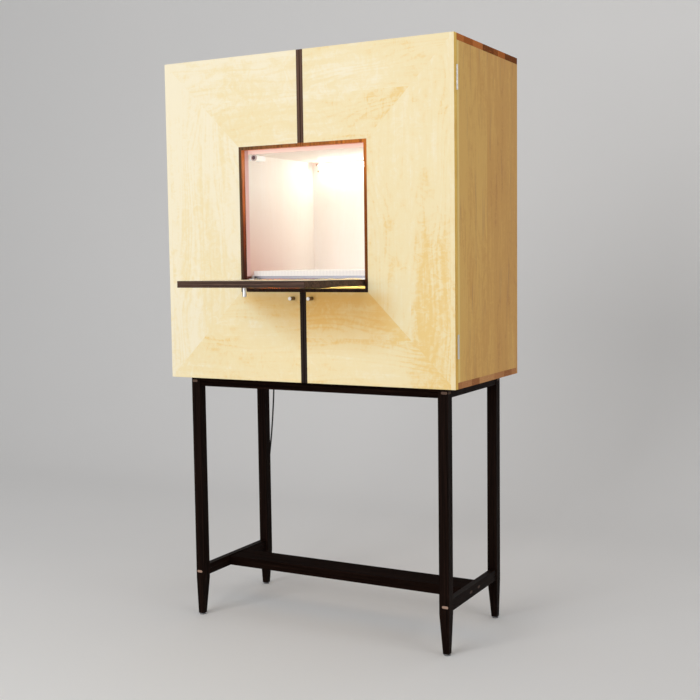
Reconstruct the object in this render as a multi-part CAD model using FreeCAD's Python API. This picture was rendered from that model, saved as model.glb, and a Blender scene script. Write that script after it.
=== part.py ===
"""Bar cabinet with a fold-out shelf, on an open stand with tapered legs.

Millimetres. X runs to the right as seen from the front, Y from the front to the back and Z up. The origin is
on the floor, under the middle of the cabinet with its shelf folded out. A depth is measured back from the
front face of the doors. The doors are shut and the flap, which is the shelf, is folded out.
"""
import FreeCAD, Part
import math
import os

# ---- Cabinet shell ----
cabinet_width = 1000.0
cabinet_height = 1000.0
cabinet_depth = 505.0  # front face of the doors to the back edge of the boards
board_thickness = 19.0
housing_depth = 5.0  # how far a shelf is let into the side panels
back_thickness = 6.0
back_inset = 8.0  # back edge of the boards to the back panel
back_groove = 6.0  # how deep the back panel sits in its groove

# ---- Doors ----
door_thickness = 18.0
door_back_gap = 1.0
door_meeting_gap = 2.0
lipping_width = 10.0
opening_width = 446.0  # square opening between the door panels, outside its lipping
opening_height = 447.0
opening_base = 277.0  # bottom of the cabinet to the opening
knob_radius = 6.0
knob_length = 26.0
knob_edge = 1.0
knob_neck_radius = 4.8
knob_neck_length = 2.0
knob_stud_radius = 2.0
knob_stud_length = 10.0
door_knob_offset = 32.0  # centre of the cabinet to each door knob
door_knob_drop = 19.0  # opening to the door knobs below it

# ---- Door hinges ----
hinge_length = 70.0
hinge_inset = 122.0  # top and bottom of the cabinet to the middle of a hinge
hinge_side_offset = 0.5  # pin axis beyond the side panel
knuckle_radius = 3.7
knuckle_count = 5
knuckle_gap = 0.2
knuckle_clearance = 0.3
hinge_pin_radius = 1.5
hinge_pin_clearance = 0.05
leaf_thickness = 1.4
leaf_gap = 0.3
leaf_width = 14.0
hinge_screw_spacing = 24.0
hinge_screw_length = 13.0
hinge_screw_radius = 1.6
hinge_screw_head_radius = 3.0

# ---- Door catches ----
catch_width = 36.0
catch_height = 14.0
catch_depth = 15.0
catch_offset = 12.0  # centre of the cabinet to a catch
strike_thickness = 1.2
strike_gap = 0.3
strike_margin = 1.0

# ---- Bar compartment ----
ceiling_drop = 10.0  # clear top of the opening to the underside of the ceiling
service_space = 45.0  # back wall of the bar to the back panel, with room for the leads
bar_back_thickness = 8.0
floor_plate_height = 48.0  # lower shelf to the underside of the glass floor
floor_plate_thickness = 16.0
floor_plate_front = 57.0
profile_front = 56.0
profile_depth = 28.0
bearer_width = 12.0
bearer_height = 18.0
strip_width = 10.0
strip_thickness = 3.0
strip_front = 95.0
strip_end_gap = 23.0
led_bar_length = 360.0
led_bar_depth = 23.0
led_bar_height = 24.0
led_bar_wall = 8.0
led_bar_cap = 2.0

# ---- Flap ----
flap_thickness = 19.0
flap_lipping_width = 9.0
flap_gap = 3.0  # clear opening to each edge of the shut flap
flap_front_depth = 18.5  # outer face of the shut flap
flap_open_angle = 89.3
flap_heel = 31.5  # lower edge of the shut flap to its pivot axis
pivot_standoff = 7.0  # inner face of the flap to its pivot axis
pivot_pin_radius = 3.0
pivot_clearance = 0.05
bush_radius = 5.0
bush_length = 10.0
bush_end_gap = 0.5
lug_edge_gap = 0.5  # edge of the flap to the lug's plate
lug_thickness = 4.0
lug_eye_gap = 0.5  # inner face of the flap to the lug's round eye
lug_foot_width = 20.0
lug_foot_length = 30.5
lug_foot_thickness = 2.5
flap_knob_inset = 29.0  # free edge of the flap to its knob
stop_front = 55.0
stop_width = 13.0
stop_clearance = 0.3
stop_thickness = 1.5

# ---- Push latch for the flap ----
latch_inset = 20.0  # side wall of the bar to the middle of the plunger
latch_drop = 11.0  # bar ceiling to the middle of the plunger
latch_body_width = 27.0
latch_body_height = 14.0
latch_body_length = 48.0
latch_tip_radius = 10.0
latch_tip_length = 3.5
latch_rod_radius = 4.0
latch_rod_length = 36.0
latch_rod_clearance = 0.08
latch_travel = 4.0
latch_flap_gap = 0.3
latch_end_gap = 0.5
flap_strike_radius = 7.5
flap_strike_thickness = 1.2

# ---- Side bays ----
bay_shelf_height = 223.0  # lower shelf to the underside of a bay shelf
bay_shelf_thickness = 16.0
bay_shelf_gap = 1.0
bay_shelf_front = 40.0
bay_shelf_back_gap = 10.0
shelf_pin_radius = 2.5
shelf_pin_reach = 9.0  # how far a pin goes into its wall
shelf_pin_support = 8.0
shelf_pin_inset = 50.0

# ---- Stand ----
stand_height = 800.0
stand_side_inset = 44.0
stand_front_inset = 45.0
stand_back_inset = 43.0
leg_width = 32.0
leg_depth = 30.0
leg_taper_start = 125.0
leg_inner_taper_width = 10.0
leg_inner_taper_depth = 8.0
leg_outer_taper = 3.0
rail_height = 32.0
rail_thickness = 20.0
rail_setback = 2.0
stretcher_base = 130.0
stretcher_height = 35.0
stretcher_thickness = 20.0
stretcher_setback = 3.0
plank_width = 100.0
plank_thickness = 30.0
tenon_width = 20.0
tenon_thickness = 8.0
tenon_reach = 25.0  # how far a loose tenon goes into a rail
plank_tenon_spacing = 63.6
glide_radius = 10.0
glide_height = 5.0
glide_stem_radius = 3.0
glide_stem_length = 12.0
stand_screw_radius = 3.0
stand_screw_head_radius = 5.5
stand_screw_head_height = 4.0
stand_screw_reach = 14.0  # how far a screw goes into the bottom board
front_screw_spacing = 330.0

# ---- Mains cord and inner leads ----
cord_diameter = 5.5
gland_side_inset = 85.5  # side of the cabinet to the middle of the gland
gland_back_inset = 25.0  # back edge of the boards to the middle of the gland
gland_radius = 6.0
gland_flange_radius = 9.0
gland_flange_height = 2.0
gland_nut_height = 4.0
relief_length = 30.0
relief_end_radius = 4.0
coil_x = -440.0
coil_depth = 700.0
coil_mean_radius = 27.5
coil_turns_across = 2
coil_turns_high = 3
plug_length = 36.0
plug_width = 26.0
plug_height = 14.0
plug_distance = 67.0  # middle of the coil to the back of the plug
plug_pin_radius = 2.0
plug_pin_length = 19.0
plug_pin_spacing = 18.6
tail_sag = 1.0  # how far the cord sags between the coil and the plug
driver_length = 120.0
driver_height = 40.0
driver_depth = 24.0
driver_x = -150.0
driver_shelf_gap = 12.0
inner_lead_radius = 2.0
inner_lead_bend = 12.0
inner_lead_hole_clearance = 1.0

# ---- Positions worked out from the sizes above ----
half_width = cabinet_width / 2
inner_half_width = half_width - board_thickness
cabinet_base = stand_height
cabinet_top = cabinet_base + cabinet_height
inner_base = cabinet_base + board_thickness
inner_top = cabinet_top - board_thickness
carcass_front = door_thickness + door_back_gap
back_panel_front = cabinet_depth - back_inset - back_thickness
bar_depth = back_panel_front - service_space - bar_back_thickness

opening_bottom = cabinet_base + opening_base
opening_top = opening_bottom + opening_height
opening_half = opening_width / 2
clear_half = opening_half - lipping_width
clear_bottom = opening_bottom + lipping_width
clear_top = opening_top - lipping_width
meeting_edge = door_meeting_gap / 2

shelf_base = opening_bottom - board_thickness
ceiling_base = clear_top - ceiling_drop
floor_plate_base = opening_bottom + floor_plate_height
bar_wall_half = clear_half + board_thickness

flap_half = clear_half - flap_gap
flap_bottom = clear_bottom + flap_gap
flap_top = clear_top - flap_gap
flap_inner_depth = flap_front_depth + flap_thickness
pivot_offset = flap_thickness + pivot_standoff
pivot_depth = flap_front_depth + pivot_offset
pivot_height = flap_bottom + flap_heel
open_angle = math.radians(flap_open_angle)
flap_arm = flap_top - pivot_height
flap_reach = flap_arm * math.sin(open_angle) + pivot_offset * math.cos(open_angle) - pivot_depth
lug_radius = pivot_standoff - lug_eye_gap
heel_run = stop_front - pivot_depth
heel_top = pivot_height - (pivot_standoff + heel_run * math.cos(open_angle)) / math.sin(open_angle)
stop_base = heel_top + stop_clearance
profile_base = stop_base + stop_thickness

hinge_x = half_width + hinge_side_offset
hinge_depth = door_thickness + door_back_gap / 2
hinge_heights = [cabinet_base + hinge_inset, cabinet_top - hinge_inset]

leg_outer_x = half_width - stand_side_inset
leg_inner_x = leg_outer_x - leg_width
leg_centre_x = leg_outer_x - leg_width / 2
front_leg = (stand_front_inset, stand_front_inset + leg_depth)
back_leg = (cabinet_depth - stand_back_inset - leg_depth, cabinet_depth - stand_back_inset)
rail_base = stand_height - rail_height
rail_middle = stand_height - rail_height / 2
stretcher_middle = stretcher_base + stretcher_height / 2
stand_middle = (stand_front_inset + cabinet_depth - stand_back_inset) / 2

# Y of the doors' front face, which puts the origin midway between the flap's free edge and the back.
front_y = (flap_reach - cabinet_depth) / 2

cord_radius = cord_diameter / 2
gland_x = gland_side_inset - half_width
gland_depth = cabinet_depth - gland_back_inset
relief_end = cabinet_base - gland_flange_height - relief_length
tail_depth = coil_depth + coil_mean_radius + (coil_turns_across - 1) * cord_radius

X_AXIS = FreeCAD.Vector(1, 0, 0)
Y_AXIS = FreeCAD.Vector(0, 1, 0)
Z_AXIS = FreeCAD.Vector(0, 0, 1)
ORIGIN = FreeCAD.Vector(0, 0, 0)
SIDES = {"left": -1, "right": 1}

# Free route of the mains cord from the strain relief to the coil, as X, depth and height.
cord_route = [
    (gland_x, gland_depth, relief_end),
    (gland_x, gland_depth, 730.0),
    (-418.5, 481.0, 668.0),
    (-424.5, 482.0, 601.0),
    (-431.5, 483.0, 537.0),
    (-440.5, 484.0, 474.0),
    (-450.5, 485.0, 410.0),
    (-457.5, 486.0, 342.0),
    (-462.5, 487.0, 273.0),
    (-465.5, 487.0, 204.0),
    (-467.0, 487.0, 138.0),
    (-466.0, 487.5, 80.0),
    (-469.0, 492.0, 34.0),
    (-484.0, 517.0, cord_radius),
    (-505.0, 552.0, cord_radius),
    (-523.0, 587.0, cord_radius),
    (-530.0, 626.0, cord_radius),
    (-520.0, 664.0, cord_radius),
    (-495.0, 694.0, cord_radius),
    (-462.0, 711.0, cord_radius),
]


# ---- Helpers ----
def place(x, depth, z):
    """The point at an X, a depth behind the doors' front face and a height."""
    return FreeCAD.Vector(x, front_y + depth, z)


def block(x, depth, z):
    """A box between two values each of X, depth and height, given in either order."""
    corner = place(min(x), min(depth), min(z))
    return Part.makeBox(max(x) - min(x), max(depth) - min(depth), max(z) - min(z), corner)


def rod(start, end, radius):
    """A round rod between two points."""
    run = end - start
    return Part.makeCylinder(radius, run.Length, start, run)


def cut(body, *tools):
    """The body with the tools taken out of it."""
    return body.cut(list(tools)).removeSplitter()


def join(body, *others):
    """The body fused with the others into one solid."""
    return body.fuse(list(others)).removeSplitter()


def mirrored(shape):
    """The shape on the other side of the cabinet."""
    return shape.mirror(ORIGIN, X_AXIS)


def both_sides(shapes):
    """The shapes with their mirror images."""
    return shapes + [mirrored(shape) for shape in shapes]


def oblong(centre, along, across, length, width, thickness):
    """A bar with round edges: it runs along one axis, and across is the way its section is wide."""
    half_flat = (width - thickness) / 2
    ends = [centre + across * half_flat, centre - across * half_flat]
    bars = [Part.makeCylinder(thickness / 2, length, end, along) for end in ends]
    rise = along.cross(across) * (thickness / 2)
    corners = [ends[0] + rise, ends[1] + rise, ends[1] - rise, ends[0] - rise, ends[0] + rise]
    flat = Part.Face(Part.makePolygon(corners)).extrude(along * length)
    return join(flat, *bars)


def routed_tube(points, radius, bend=None):
    """A round tube along straight runs joined by tangent arcs; it prints each arc's radius."""
    edges = []
    start = points[0]
    radii = []
    for before, corner, after in zip(points, points[1:], points[2:]):
        incoming = (corner - before).normalize()
        outgoing = (after - corner).normalize()
        turn = incoming.getAngle(outgoing)
        shorter = min(corner.distanceToPoint(before), after.distanceToPoint(corner))
        setback = bend * math.tan(turn / 2) if bend else 0.45 * shorter
        radii.append(setback / math.tan(turn / 2))
        arc_start = corner - incoming * setback
        arc_end = corner + outgoing * setback
        to_centre = (outgoing - incoming).normalize()
        centre = corner + to_centre * (setback / math.sin(turn / 2))
        middle = centre - to_centre * radii[-1]
        edges.append(Part.LineSegment(start, arc_start).toShape())
        edges.append(Part.Arc(arc_start, middle, arc_end).toShape())
        start = arc_end
    edges.append(Part.LineSegment(start, points[-1]).toShape())
    path = Part.Wire(edges)
    section = Part.Wire(Part.makeCircle(radius, points[0], points[1] - points[0]))
    tube = path.makePipeShell([section], True, False)
    wanted = math.pi * radius ** 2 * path.Length
    print("tube length %.1f, volume ratio %.4f" % (path.Length, tube.Volume / wanted))
    print("  radii", [round(value, 1) for value in radii])
    return tube


def save(node, shapes):
    """Write one sub-part, a single solid or a group of separate ones."""
    shape = shapes[0] if len(shapes) == 1 else Part.makeCompound(shapes)
    shape.exportStep("parts/" + node + ".step")


def fold_out(shape):
    """Turn a piece of the flap from its shut place to its folded-out place."""
    return shape.rotated(place(0, pivot_depth, pivot_height), X_AXIS, flap_open_angle)


def knob(base, outward):
    """A turned knob with a short neck, and the stud that holds it."""
    neck = Part.makeCylinder(knob_neck_radius, knob_neck_length, base, outward)
    head_base = base + outward * knob_neck_length
    head_length = knob_length - knob_neck_length
    head = Part.makeCylinder(knob_radius, head_length - knob_edge, head_base, outward)
    rim_base = head_base + outward * (head_length - knob_edge)
    rim = Part.makeCone(knob_radius, knob_radius - knob_edge, knob_edge, rim_base, outward)
    return join(neck, head, rim, knob_stud(base, outward))


def knob_stud(base, outward):
    """The stud of a knob, which goes into the board behind it."""
    return Part.makeCylinder(knob_stud_radius, knob_stud_length, base, outward * -1)


def countersunk_screw(head, inward, length, radius, head_radius):
    """A countersunk screw with its flat head at a point."""
    cone_height = head_radius - radius
    cone = Part.makeCone(head_radius, radius, cone_height, head, inward)
    shank = Part.makeCylinder(radius, length, head, inward)
    return join(cone, shank)


# ---- Door hinges ----
def knuckle_spans(middle, owner):
    """The height spans of the knuckles that the carcass or the door owns."""
    pitch = hinge_length / knuckle_count
    first = 0 if owner == "carcass" else 1
    spans = []
    for index in range(first, knuckle_count, 2):
        low = middle - hinge_length / 2 + index * pitch
        spans.append((low + knuckle_gap / 2, low + pitch - knuckle_gap / 2))
    return spans


def leaf_depths(owner):
    """The depths between which a leaf lies: the carcass leaf is behind the pin axis."""
    near = hinge_depth + leaf_gap / 2
    far = near + leaf_thickness
    if owner == "carcass":
        return near, far
    return 2 * hinge_depth - near, 2 * hinge_depth - far


def hinge_leaf(middle, owner):
    """One leaf of a right-hand hinge with its knuckles, bored for the pin."""
    plate_edge = hinge_x - knuckle_radius - knuckle_clearance
    span = (middle - hinge_length / 2, middle + hinge_length / 2)
    leaf = block((plate_edge - leaf_width, plate_edge), leaf_depths(owner), span)
    for low, high in knuckle_spans(middle, owner):
        tab = block((plate_edge, hinge_x - knuckle_radius / 2), leaf_depths(owner), (low, high))
        knuckle = rod(place(hinge_x, hinge_depth, low), place(hinge_x, hinge_depth, high), knuckle_radius)
        leaf = join(leaf, tab, knuckle)
    bore_radius = hinge_pin_radius + hinge_pin_clearance
    bore = rod(place(hinge_x, hinge_depth, span[0]), place(hinge_x, hinge_depth, span[1]), bore_radius)
    return cut(leaf, bore, *hinge_screws(middle, owner))


def hinge_pin(middle):
    """The pin of a right-hand hinge."""
    low = place(hinge_x, hinge_depth, middle - hinge_length / 2)
    high = place(hinge_x, hinge_depth, middle + hinge_length / 2)
    return rod(low, high, hinge_pin_radius)


def hinge_screws(middle, owner):
    """The screws through one leaf of a right-hand hinge."""
    plate_edge = hinge_x - knuckle_radius - knuckle_clearance
    x = plate_edge - leaf_width / 2
    inward = Y_AXIS if owner == "carcass" else Y_AXIS * -1
    face = leaf_depths(owner)[0]
    heights = [middle - hinge_screw_spacing, middle, middle + hinge_screw_spacing]
    return [
        countersunk_screw(
            place(x, face, height), inward, hinge_screw_length, hinge_screw_radius, hinge_screw_head_radius
        )
        for height in heights
    ]


def hinge_recess(middle, owner):
    """What a hinge takes out of the board's edge: room for the leaf and for the knuckles."""
    span = (middle - hinge_length / 2, middle + hinge_length / 2)
    plate_edge = hinge_x - knuckle_radius - knuckle_clearance
    mortise = block((plate_edge - leaf_width, half_width), leaf_depths(owner), span)
    low = place(hinge_x, hinge_depth, span[0])
    high = place(hinge_x, hinge_depth, span[1])
    return [mortise, rod(low, high, knuckle_radius + knuckle_clearance)]


# ---- Doors ----
def catch_spans():
    """The height spans of the two door catches, under the top board and on the bottom board."""
    return [(inner_top - catch_height, inner_top), (inner_base, inner_base + catch_height)]


def door_strikes():
    """The steel plates on the right door's back that meet the catches."""
    near = door_thickness + door_back_gap - strike_gap - strike_thickness
    width = (catch_offset, catch_offset + catch_width)
    return [
        block(width, (near, near + strike_thickness), (low + strike_margin, high - strike_margin))
        for low, high in catch_spans()
    ]


def door_knob_base():
    """Where the right door's knob sits on the door's face."""
    return place(door_knob_offset, 0, opening_bottom - door_knob_drop)


def door_screws():
    """All hinge screws of the right door."""
    return [screw for middle in hinge_heights for screw in hinge_screws(middle, "door")]


def door_panel():
    """The right door's panel, which bends around the opening."""
    depth = (0, door_thickness)
    panel = block((meeting_edge + lipping_width, half_width), depth, (cabinet_base, cabinet_top))
    notch = block((0, opening_half), depth, (opening_bottom, opening_top))
    recesses = [tool for middle in hinge_heights for tool in hinge_recess(middle, "door")]
    stud = knob_stud(door_knob_base(), Y_AXIS * -1)
    return cut(panel, notch, stud, *recesses, *door_screws(), *door_strikes())


def door_lipping():
    """The right door's dark lipping: two meeting edges and three sides of the opening."""
    depth = (0, door_thickness)
    meeting = (meeting_edge, meeting_edge + lipping_width)
    return [
        block(meeting, depth, (opening_top, cabinet_top)),
        block(meeting, depth, (cabinet_base, opening_bottom)),
        block((clear_half, opening_half), depth, (opening_bottom, opening_top)),
        block((meeting_edge, clear_half), depth, (clear_top, opening_top)),
        block((meeting_edge, clear_half), depth, (opening_bottom, clear_bottom)),
    ]


def save_door(side):
    """Write the sub-parts of one door; the left one is the right one's mirror image."""
    sub_parts = {
        "panel": [door_panel()],
        "lipping": door_lipping(),
        "knob": [knob(door_knob_base(), Y_AXIS * -1)],
        "hinge_leaves": [hinge_leaf(middle, "door") for middle in hinge_heights],
        "fixings": door_screws() + door_strikes(),
    }
    for name, shapes in sub_parts.items():
        placed = shapes if side == "right" else [mirrored(shape) for shape in shapes]
        save(side + "_door_" + name, placed)


# ---- Flap ----
def flap_knob_base():
    """Where the flap's knob sits on its outer face, with the flap shut."""
    return place(0, flap_front_depth, flap_top - flap_knob_inset)


def latch_point(depth):
    """The point on the push latch's axis at a depth."""
    return place(-clear_half + latch_inset, depth, ceiling_base - latch_drop)


def flap_strike():
    """The steel disc, flush in the flap's inner face, that the push latch holds."""
    near = latch_point(flap_inner_depth - flap_strike_thickness)
    return rod(near, latch_point(flap_inner_depth), flap_strike_radius)


def flap_lipping():
    """The flap's dark lipping on its four edges."""
    depth = (flap_front_depth, flap_inner_depth)
    inner = flap_half - flap_lipping_width
    upright = block((inner, flap_half), depth, (flap_bottom, flap_top))
    strips = both_sides([upright])
    strips.append(block((-inner, inner), depth, (flap_top - flap_lipping_width, flap_top)))
    strips.append(block((-inner, inner), depth, (flap_bottom, flap_bottom + flap_lipping_width)))
    return strips


def flap_panel():
    """The flap's veneered board between its lippings."""
    inner = flap_half - flap_lipping_width
    low = flap_bottom + flap_lipping_width
    high = flap_top - flap_lipping_width
    board = block((-inner, inner), (flap_front_depth, flap_inner_depth), (low, high))
    return cut(board, flap_strike(), knob_stud(flap_knob_base(), Y_AXIS * -1))


def flap_lug():
    """The right-hand lug on the flap's inner face with its pivot pin."""
    outer = flap_half - lug_edge_gap
    inner = outer - lug_thickness
    plate = rod(place(inner, pivot_depth, pivot_height), place(outer, pivot_depth, pivot_height), lug_radius)
    web_span = (pivot_height - lug_radius, pivot_height + lug_radius)
    web = block((inner, outer), (flap_inner_depth, pivot_depth), web_span)
    foot_span = (pivot_height - lug_radius, pivot_height - lug_radius + lug_foot_length)
    foot_depth = (flap_inner_depth, flap_inner_depth + lug_foot_thickness)
    foot = block((outer - lug_foot_width, outer), foot_depth, foot_span)
    pin_end = clear_half + bush_length - bush_end_gap
    pin_start = place(inner, pivot_depth, pivot_height)
    pin = rod(pin_start, place(pin_end, pivot_depth, pivot_height), pivot_pin_radius)
    return join(plate, web, foot, pin)


def pivot_bush():
    """The right-hand bush in the bar's side wall."""
    start = place(clear_half, pivot_depth, pivot_height)
    end = place(clear_half + bush_length, pivot_depth, pivot_height)
    return cut(rod(start, end, bush_radius), rod(start, end, pivot_pin_radius + pivot_clearance))


def bush_hole():
    """The blind hole for the right-hand bush."""
    start = place(clear_half, pivot_depth, pivot_height)
    return rod(start, place(clear_half + bush_length, pivot_depth, pivot_height), bush_radius)


def flap_stop():
    """The right-hand pad under which the folded-out flap's heel comes to rest."""
    depth = (stop_front, profile_front + profile_depth)
    return block((clear_half - stop_width, clear_half), depth, (stop_base, profile_base))


# ---- Push latch ----
latch_tip_front = flap_inner_depth + latch_flap_gap
latch_tip_back = latch_tip_front + latch_tip_length
latch_body_front = latch_tip_back + latch_travel + latch_end_gap
latch_rod_end = latch_tip_back + latch_rod_length


def latch_plunger():
    """The push latch's sprung plunger with its round tip."""
    tip = rod(latch_point(latch_tip_front), latch_point(latch_tip_back), latch_tip_radius)
    stem = rod(latch_point(latch_tip_back), latch_point(latch_rod_end), latch_rod_radius)
    return join(tip, stem)


def latch_housing():
    """The push latch's housing on the bar's left wall."""
    middle = ceiling_base - latch_drop
    span = (middle - latch_body_height / 2, middle + latch_body_height / 2)
    depth = (latch_body_front, latch_body_front + latch_body_length)
    body = block((-clear_half, -clear_half + latch_body_width), depth, span)
    bore_end = latch_point(latch_rod_end + latch_travel + latch_end_gap)
    bore = rod(latch_point(latch_body_front), bore_end, latch_rod_radius + latch_rod_clearance)
    return cut(body, bore)


# ---- Cabinet boards ----
def back_panel():
    """The back panel, in a groove on its four sides."""
    half = inner_half_width + back_groove
    span = (inner_base - back_groove, inner_top + back_groove)
    return block((-half, half), (back_panel_front, back_panel_front + back_thickness), span)


def gland():
    """The cord's gland in the bottom board with its nut and its tapered strain relief."""
    inside = rod(
        place(gland_x, gland_depth, cabinet_base), place(gland_x, gland_depth, inner_base), gland_radius
    )
    nut_top = inner_base + gland_nut_height
    nut = rod(
        place(gland_x, gland_depth, inner_base), place(gland_x, gland_depth, nut_top), gland_flange_radius
    )
    flange_base = cabinet_base - gland_flange_height
    flange = rod(
        place(gland_x, gland_depth, flange_base),
        place(gland_x, gland_depth, cabinet_base),
        gland_flange_radius,
    )
    top = place(gland_x, gland_depth, flange_base)
    relief = Part.makeCone(gland_radius, relief_end_radius, relief_length, top, Z_AXIS * -1)
    return join(inside, nut, flange, relief)


def bottom_board():
    """The bottom board, which carries the gland and takes the stand's screws."""
    board = block((-half_width, half_width), (carcass_front, cabinet_depth), (cabinet_base, inner_base))
    return cut(board, back_panel(), gland(), *stand_screws())


def top_board():
    """The top board, over the side panels."""
    board = block((-half_width, half_width), (carcass_front, cabinet_depth), (inner_top, cabinet_top))
    return cut(board, back_panel())


def cross_shelf(base):
    """A full-width shelf, let into both side panels."""
    half = inner_half_width + housing_depth
    return block((-half, half), (carcass_front, back_panel_front), (base, base + board_thickness))


def carcass_screws():
    """The hinge screws of the right side panel."""
    return [screw for middle in hinge_heights for screw in hinge_screws(middle, "carcass")]


def bay_pins():
    """The four pins under the right bay shelf."""
    height = opening_bottom + bay_shelf_height - shelf_pin_radius
    pins = []
    for depth in (bay_shelf_front + shelf_pin_inset, back_panel_front - bay_shelf_back_gap - shelf_pin_inset):
        inner_ends = (bar_wall_half - shelf_pin_reach, bar_wall_half + shelf_pin_support)
        outer_ends = (inner_half_width - shelf_pin_support, inner_half_width + shelf_pin_reach)
        for start, end in (inner_ends, outer_ends):
            pins.append(rod(place(start, depth, height), place(end, depth, height), shelf_pin_radius))
    return pins


def bay_shelf():
    """The right bay shelf, resting on its pins."""
    width = (bar_wall_half + bay_shelf_gap, inner_half_width - bay_shelf_gap)
    base = opening_bottom + bay_shelf_height
    depth = (bay_shelf_front, back_panel_front - bay_shelf_back_gap)
    return block(width, depth, (base, base + bay_shelf_thickness))


def side_panel():
    """The right side panel with its housings, groove, hinge recesses and pin holes."""
    panel = block((inner_half_width, half_width), (carcass_front, cabinet_depth), (inner_base, inner_top))
    recesses = [tool for middle in hinge_heights for tool in hinge_recess(middle, "carcass")]
    shelves = [cross_shelf(shelf_base), cross_shelf(opening_top)]
    return cut(panel, back_panel(), *shelves, *recesses, *carcass_screws(), *bay_pins())


def bar_wall():
    """The right wall of the bar compartment, between the two cross shelves."""
    depth = (carcass_front, back_panel_front)
    wall = block((clear_half, bar_wall_half), depth, (opening_bottom, opening_top))
    return cut(wall, bush_hole(), *bay_pins())


def bar_back():
    """The bar's back wall, drilled for the two leads."""
    depth = (bar_depth, bar_depth + bar_back_thickness)
    wall = block((-clear_half, clear_half), depth, (opening_bottom, opening_top))
    return cut(wall, *lead_holes())


def bar_ceiling():
    """The bar's ceiling board; the shut flap stops against its front edge."""
    depth = (flap_inner_depth + stop_clearance, bar_depth)
    return block((-clear_half, clear_half), depth, (ceiling_base, opening_top))


def floor_plate():
    """The opal glass floor of the bar."""
    top = floor_plate_base + floor_plate_thickness
    return block((-clear_half, clear_half), (floor_plate_front, bar_depth), (floor_plate_base, top))


def floor_profile():
    """The aluminium profile between the glass floor's front edge and the flap's stops."""
    depth = (profile_front, profile_front + profile_depth)
    return block((-clear_half, clear_half), depth, (profile_base, floor_plate_base))


def floor_bearer():
    """The right-hand bearer under the glass floor."""
    span = (floor_plate_base - bearer_height, floor_plate_base)
    depth = (profile_front + profile_depth, bar_depth)
    return block((clear_half - bearer_width, clear_half), depth, span)


# ---- Lighting ----
def floor_strip():
    """The LED strip on the lower shelf, under the glass floor."""
    half = clear_half - strip_end_gap
    depth = (strip_front, strip_front + strip_width)
    return block((-half, half), depth, (opening_bottom, opening_bottom + strip_thickness))


def led_bar_diffuser():
    """The opal cover of the LED bar, between its end caps."""
    half = led_bar_length / 2 - led_bar_cap
    base = ceiling_base - led_bar_height
    front = bar_depth - led_bar_depth
    return block((-half, half), (front, bar_depth - led_bar_wall), (base, ceiling_base - led_bar_wall))


def led_bar_housing():
    """The LED bar's aluminium housing in the corner of the ceiling and the back wall."""
    half = led_bar_length / 2
    depth = (bar_depth - led_bar_depth, bar_depth)
    body = block((-half, half), depth, (ceiling_base - led_bar_height, ceiling_base))
    return cut(body, led_bar_diffuser())


driver_depth_middle = back_panel_front - driver_depth / 2
driver_top = shelf_base - driver_shelf_gap
strip_lead_x = driver_x - 2 * inner_lead_radius
bar_lead_x = driver_x + 2 * inner_lead_radius
strip_lead_height = opening_bottom + inner_lead_radius
bar_lead_height = ceiling_base - led_bar_height / 2


def led_driver():
    """The LED driver on the back panel, under the lower shelf."""
    width = (driver_x - driver_length / 2, driver_x + driver_length / 2)
    depth = (back_panel_front - driver_depth, back_panel_front)
    return block(width, depth, (driver_top - driver_height, driver_top))


def inner_leads():
    """The lead from the gland to the driver, and those from the driver to the strip and to the bar."""
    driver_side = driver_x - driver_length / 2
    driver_middle = driver_top - driver_height / 2
    supply = [
        place(gland_x, gland_depth, inner_base + gland_nut_height),
        place(gland_x, gland_depth, driver_middle),
        place(driver_side, gland_depth, driver_middle),
    ]
    strip = [
        place(strip_lead_x, driver_depth_middle, driver_top),
        place(strip_lead_x, driver_depth_middle, strip_lead_height),
        place(strip_lead_x, strip_front + strip_width, strip_lead_height),
    ]
    bar = [
        place(bar_lead_x, driver_depth_middle, driver_top),
        place(bar_lead_x, driver_depth_middle, bar_lead_height),
        place(bar_lead_x, bar_depth, bar_lead_height),
    ]
    return [routed_tube(points, inner_lead_radius, inner_lead_bend) for points in (supply, strip, bar)]


def lead_holes():
    """The holes in the bar's back wall for the strip's and the bar's leads."""
    radius = inner_lead_radius + inner_lead_hole_clearance
    back = bar_depth + bar_back_thickness
    heights = ((strip_lead_x, strip_lead_height), (bar_lead_x, bar_lead_height))
    return [rod(place(x, bar_depth, height), place(x, back, height), radius) for x, height in heights]


def lead_slot():
    """The cut-out in the lower shelf through which both leads come up."""
    margin = inner_lead_radius + inner_lead_hole_clearance
    width = (strip_lead_x - margin, bar_lead_x + margin)
    depth = (driver_depth_middle - inner_lead_bend - margin, driver_depth_middle + margin)
    return block(width, depth, (shelf_base, opening_bottom))


# ---- Stand ----
def leg(span, outer_is_front):
    """The right leg over a depth span, with a tapered foot."""
    outer_depth, inner_depth = span if outer_is_front else (span[1], span[0])
    inward = 1 if outer_is_front else -1
    sections = [
        (glide_height, leg_outer_taper, leg_inner_taper_width, leg_inner_taper_depth),
        (leg_taper_start, 0, 0, 0),
        (stand_height, 0, 0, 0),
    ]
    wires = []
    for height, outer, inner_width, inner_back in sections:
        near_x = leg_outer_x - outer
        far_x = leg_inner_x + inner_width
        near_depth = outer_depth + inward * outer
        far_depth = inner_depth - inward * inner_back
        corners = [(near_x, near_depth), (far_x, near_depth), (far_x, far_depth), (near_x, far_depth)]
        points = [place(x, depth, height) for x, depth in corners]
        wires.append(Part.makePolygon(points + [points[0]]))
    return Part.makeLoft(wires, True, True)


def foot_centre(span, outer_is_front):
    """The middle of the right leg's foot, as X and depth."""
    x = (leg_outer_x - leg_outer_taper + leg_inner_x + leg_inner_taper_width) / 2
    if outer_is_front:
        return x, (span[0] + leg_outer_taper + span[1] - leg_inner_taper_depth) / 2
    return x, (span[1] - leg_outer_taper + span[0] + leg_inner_taper_depth) / 2


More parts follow.
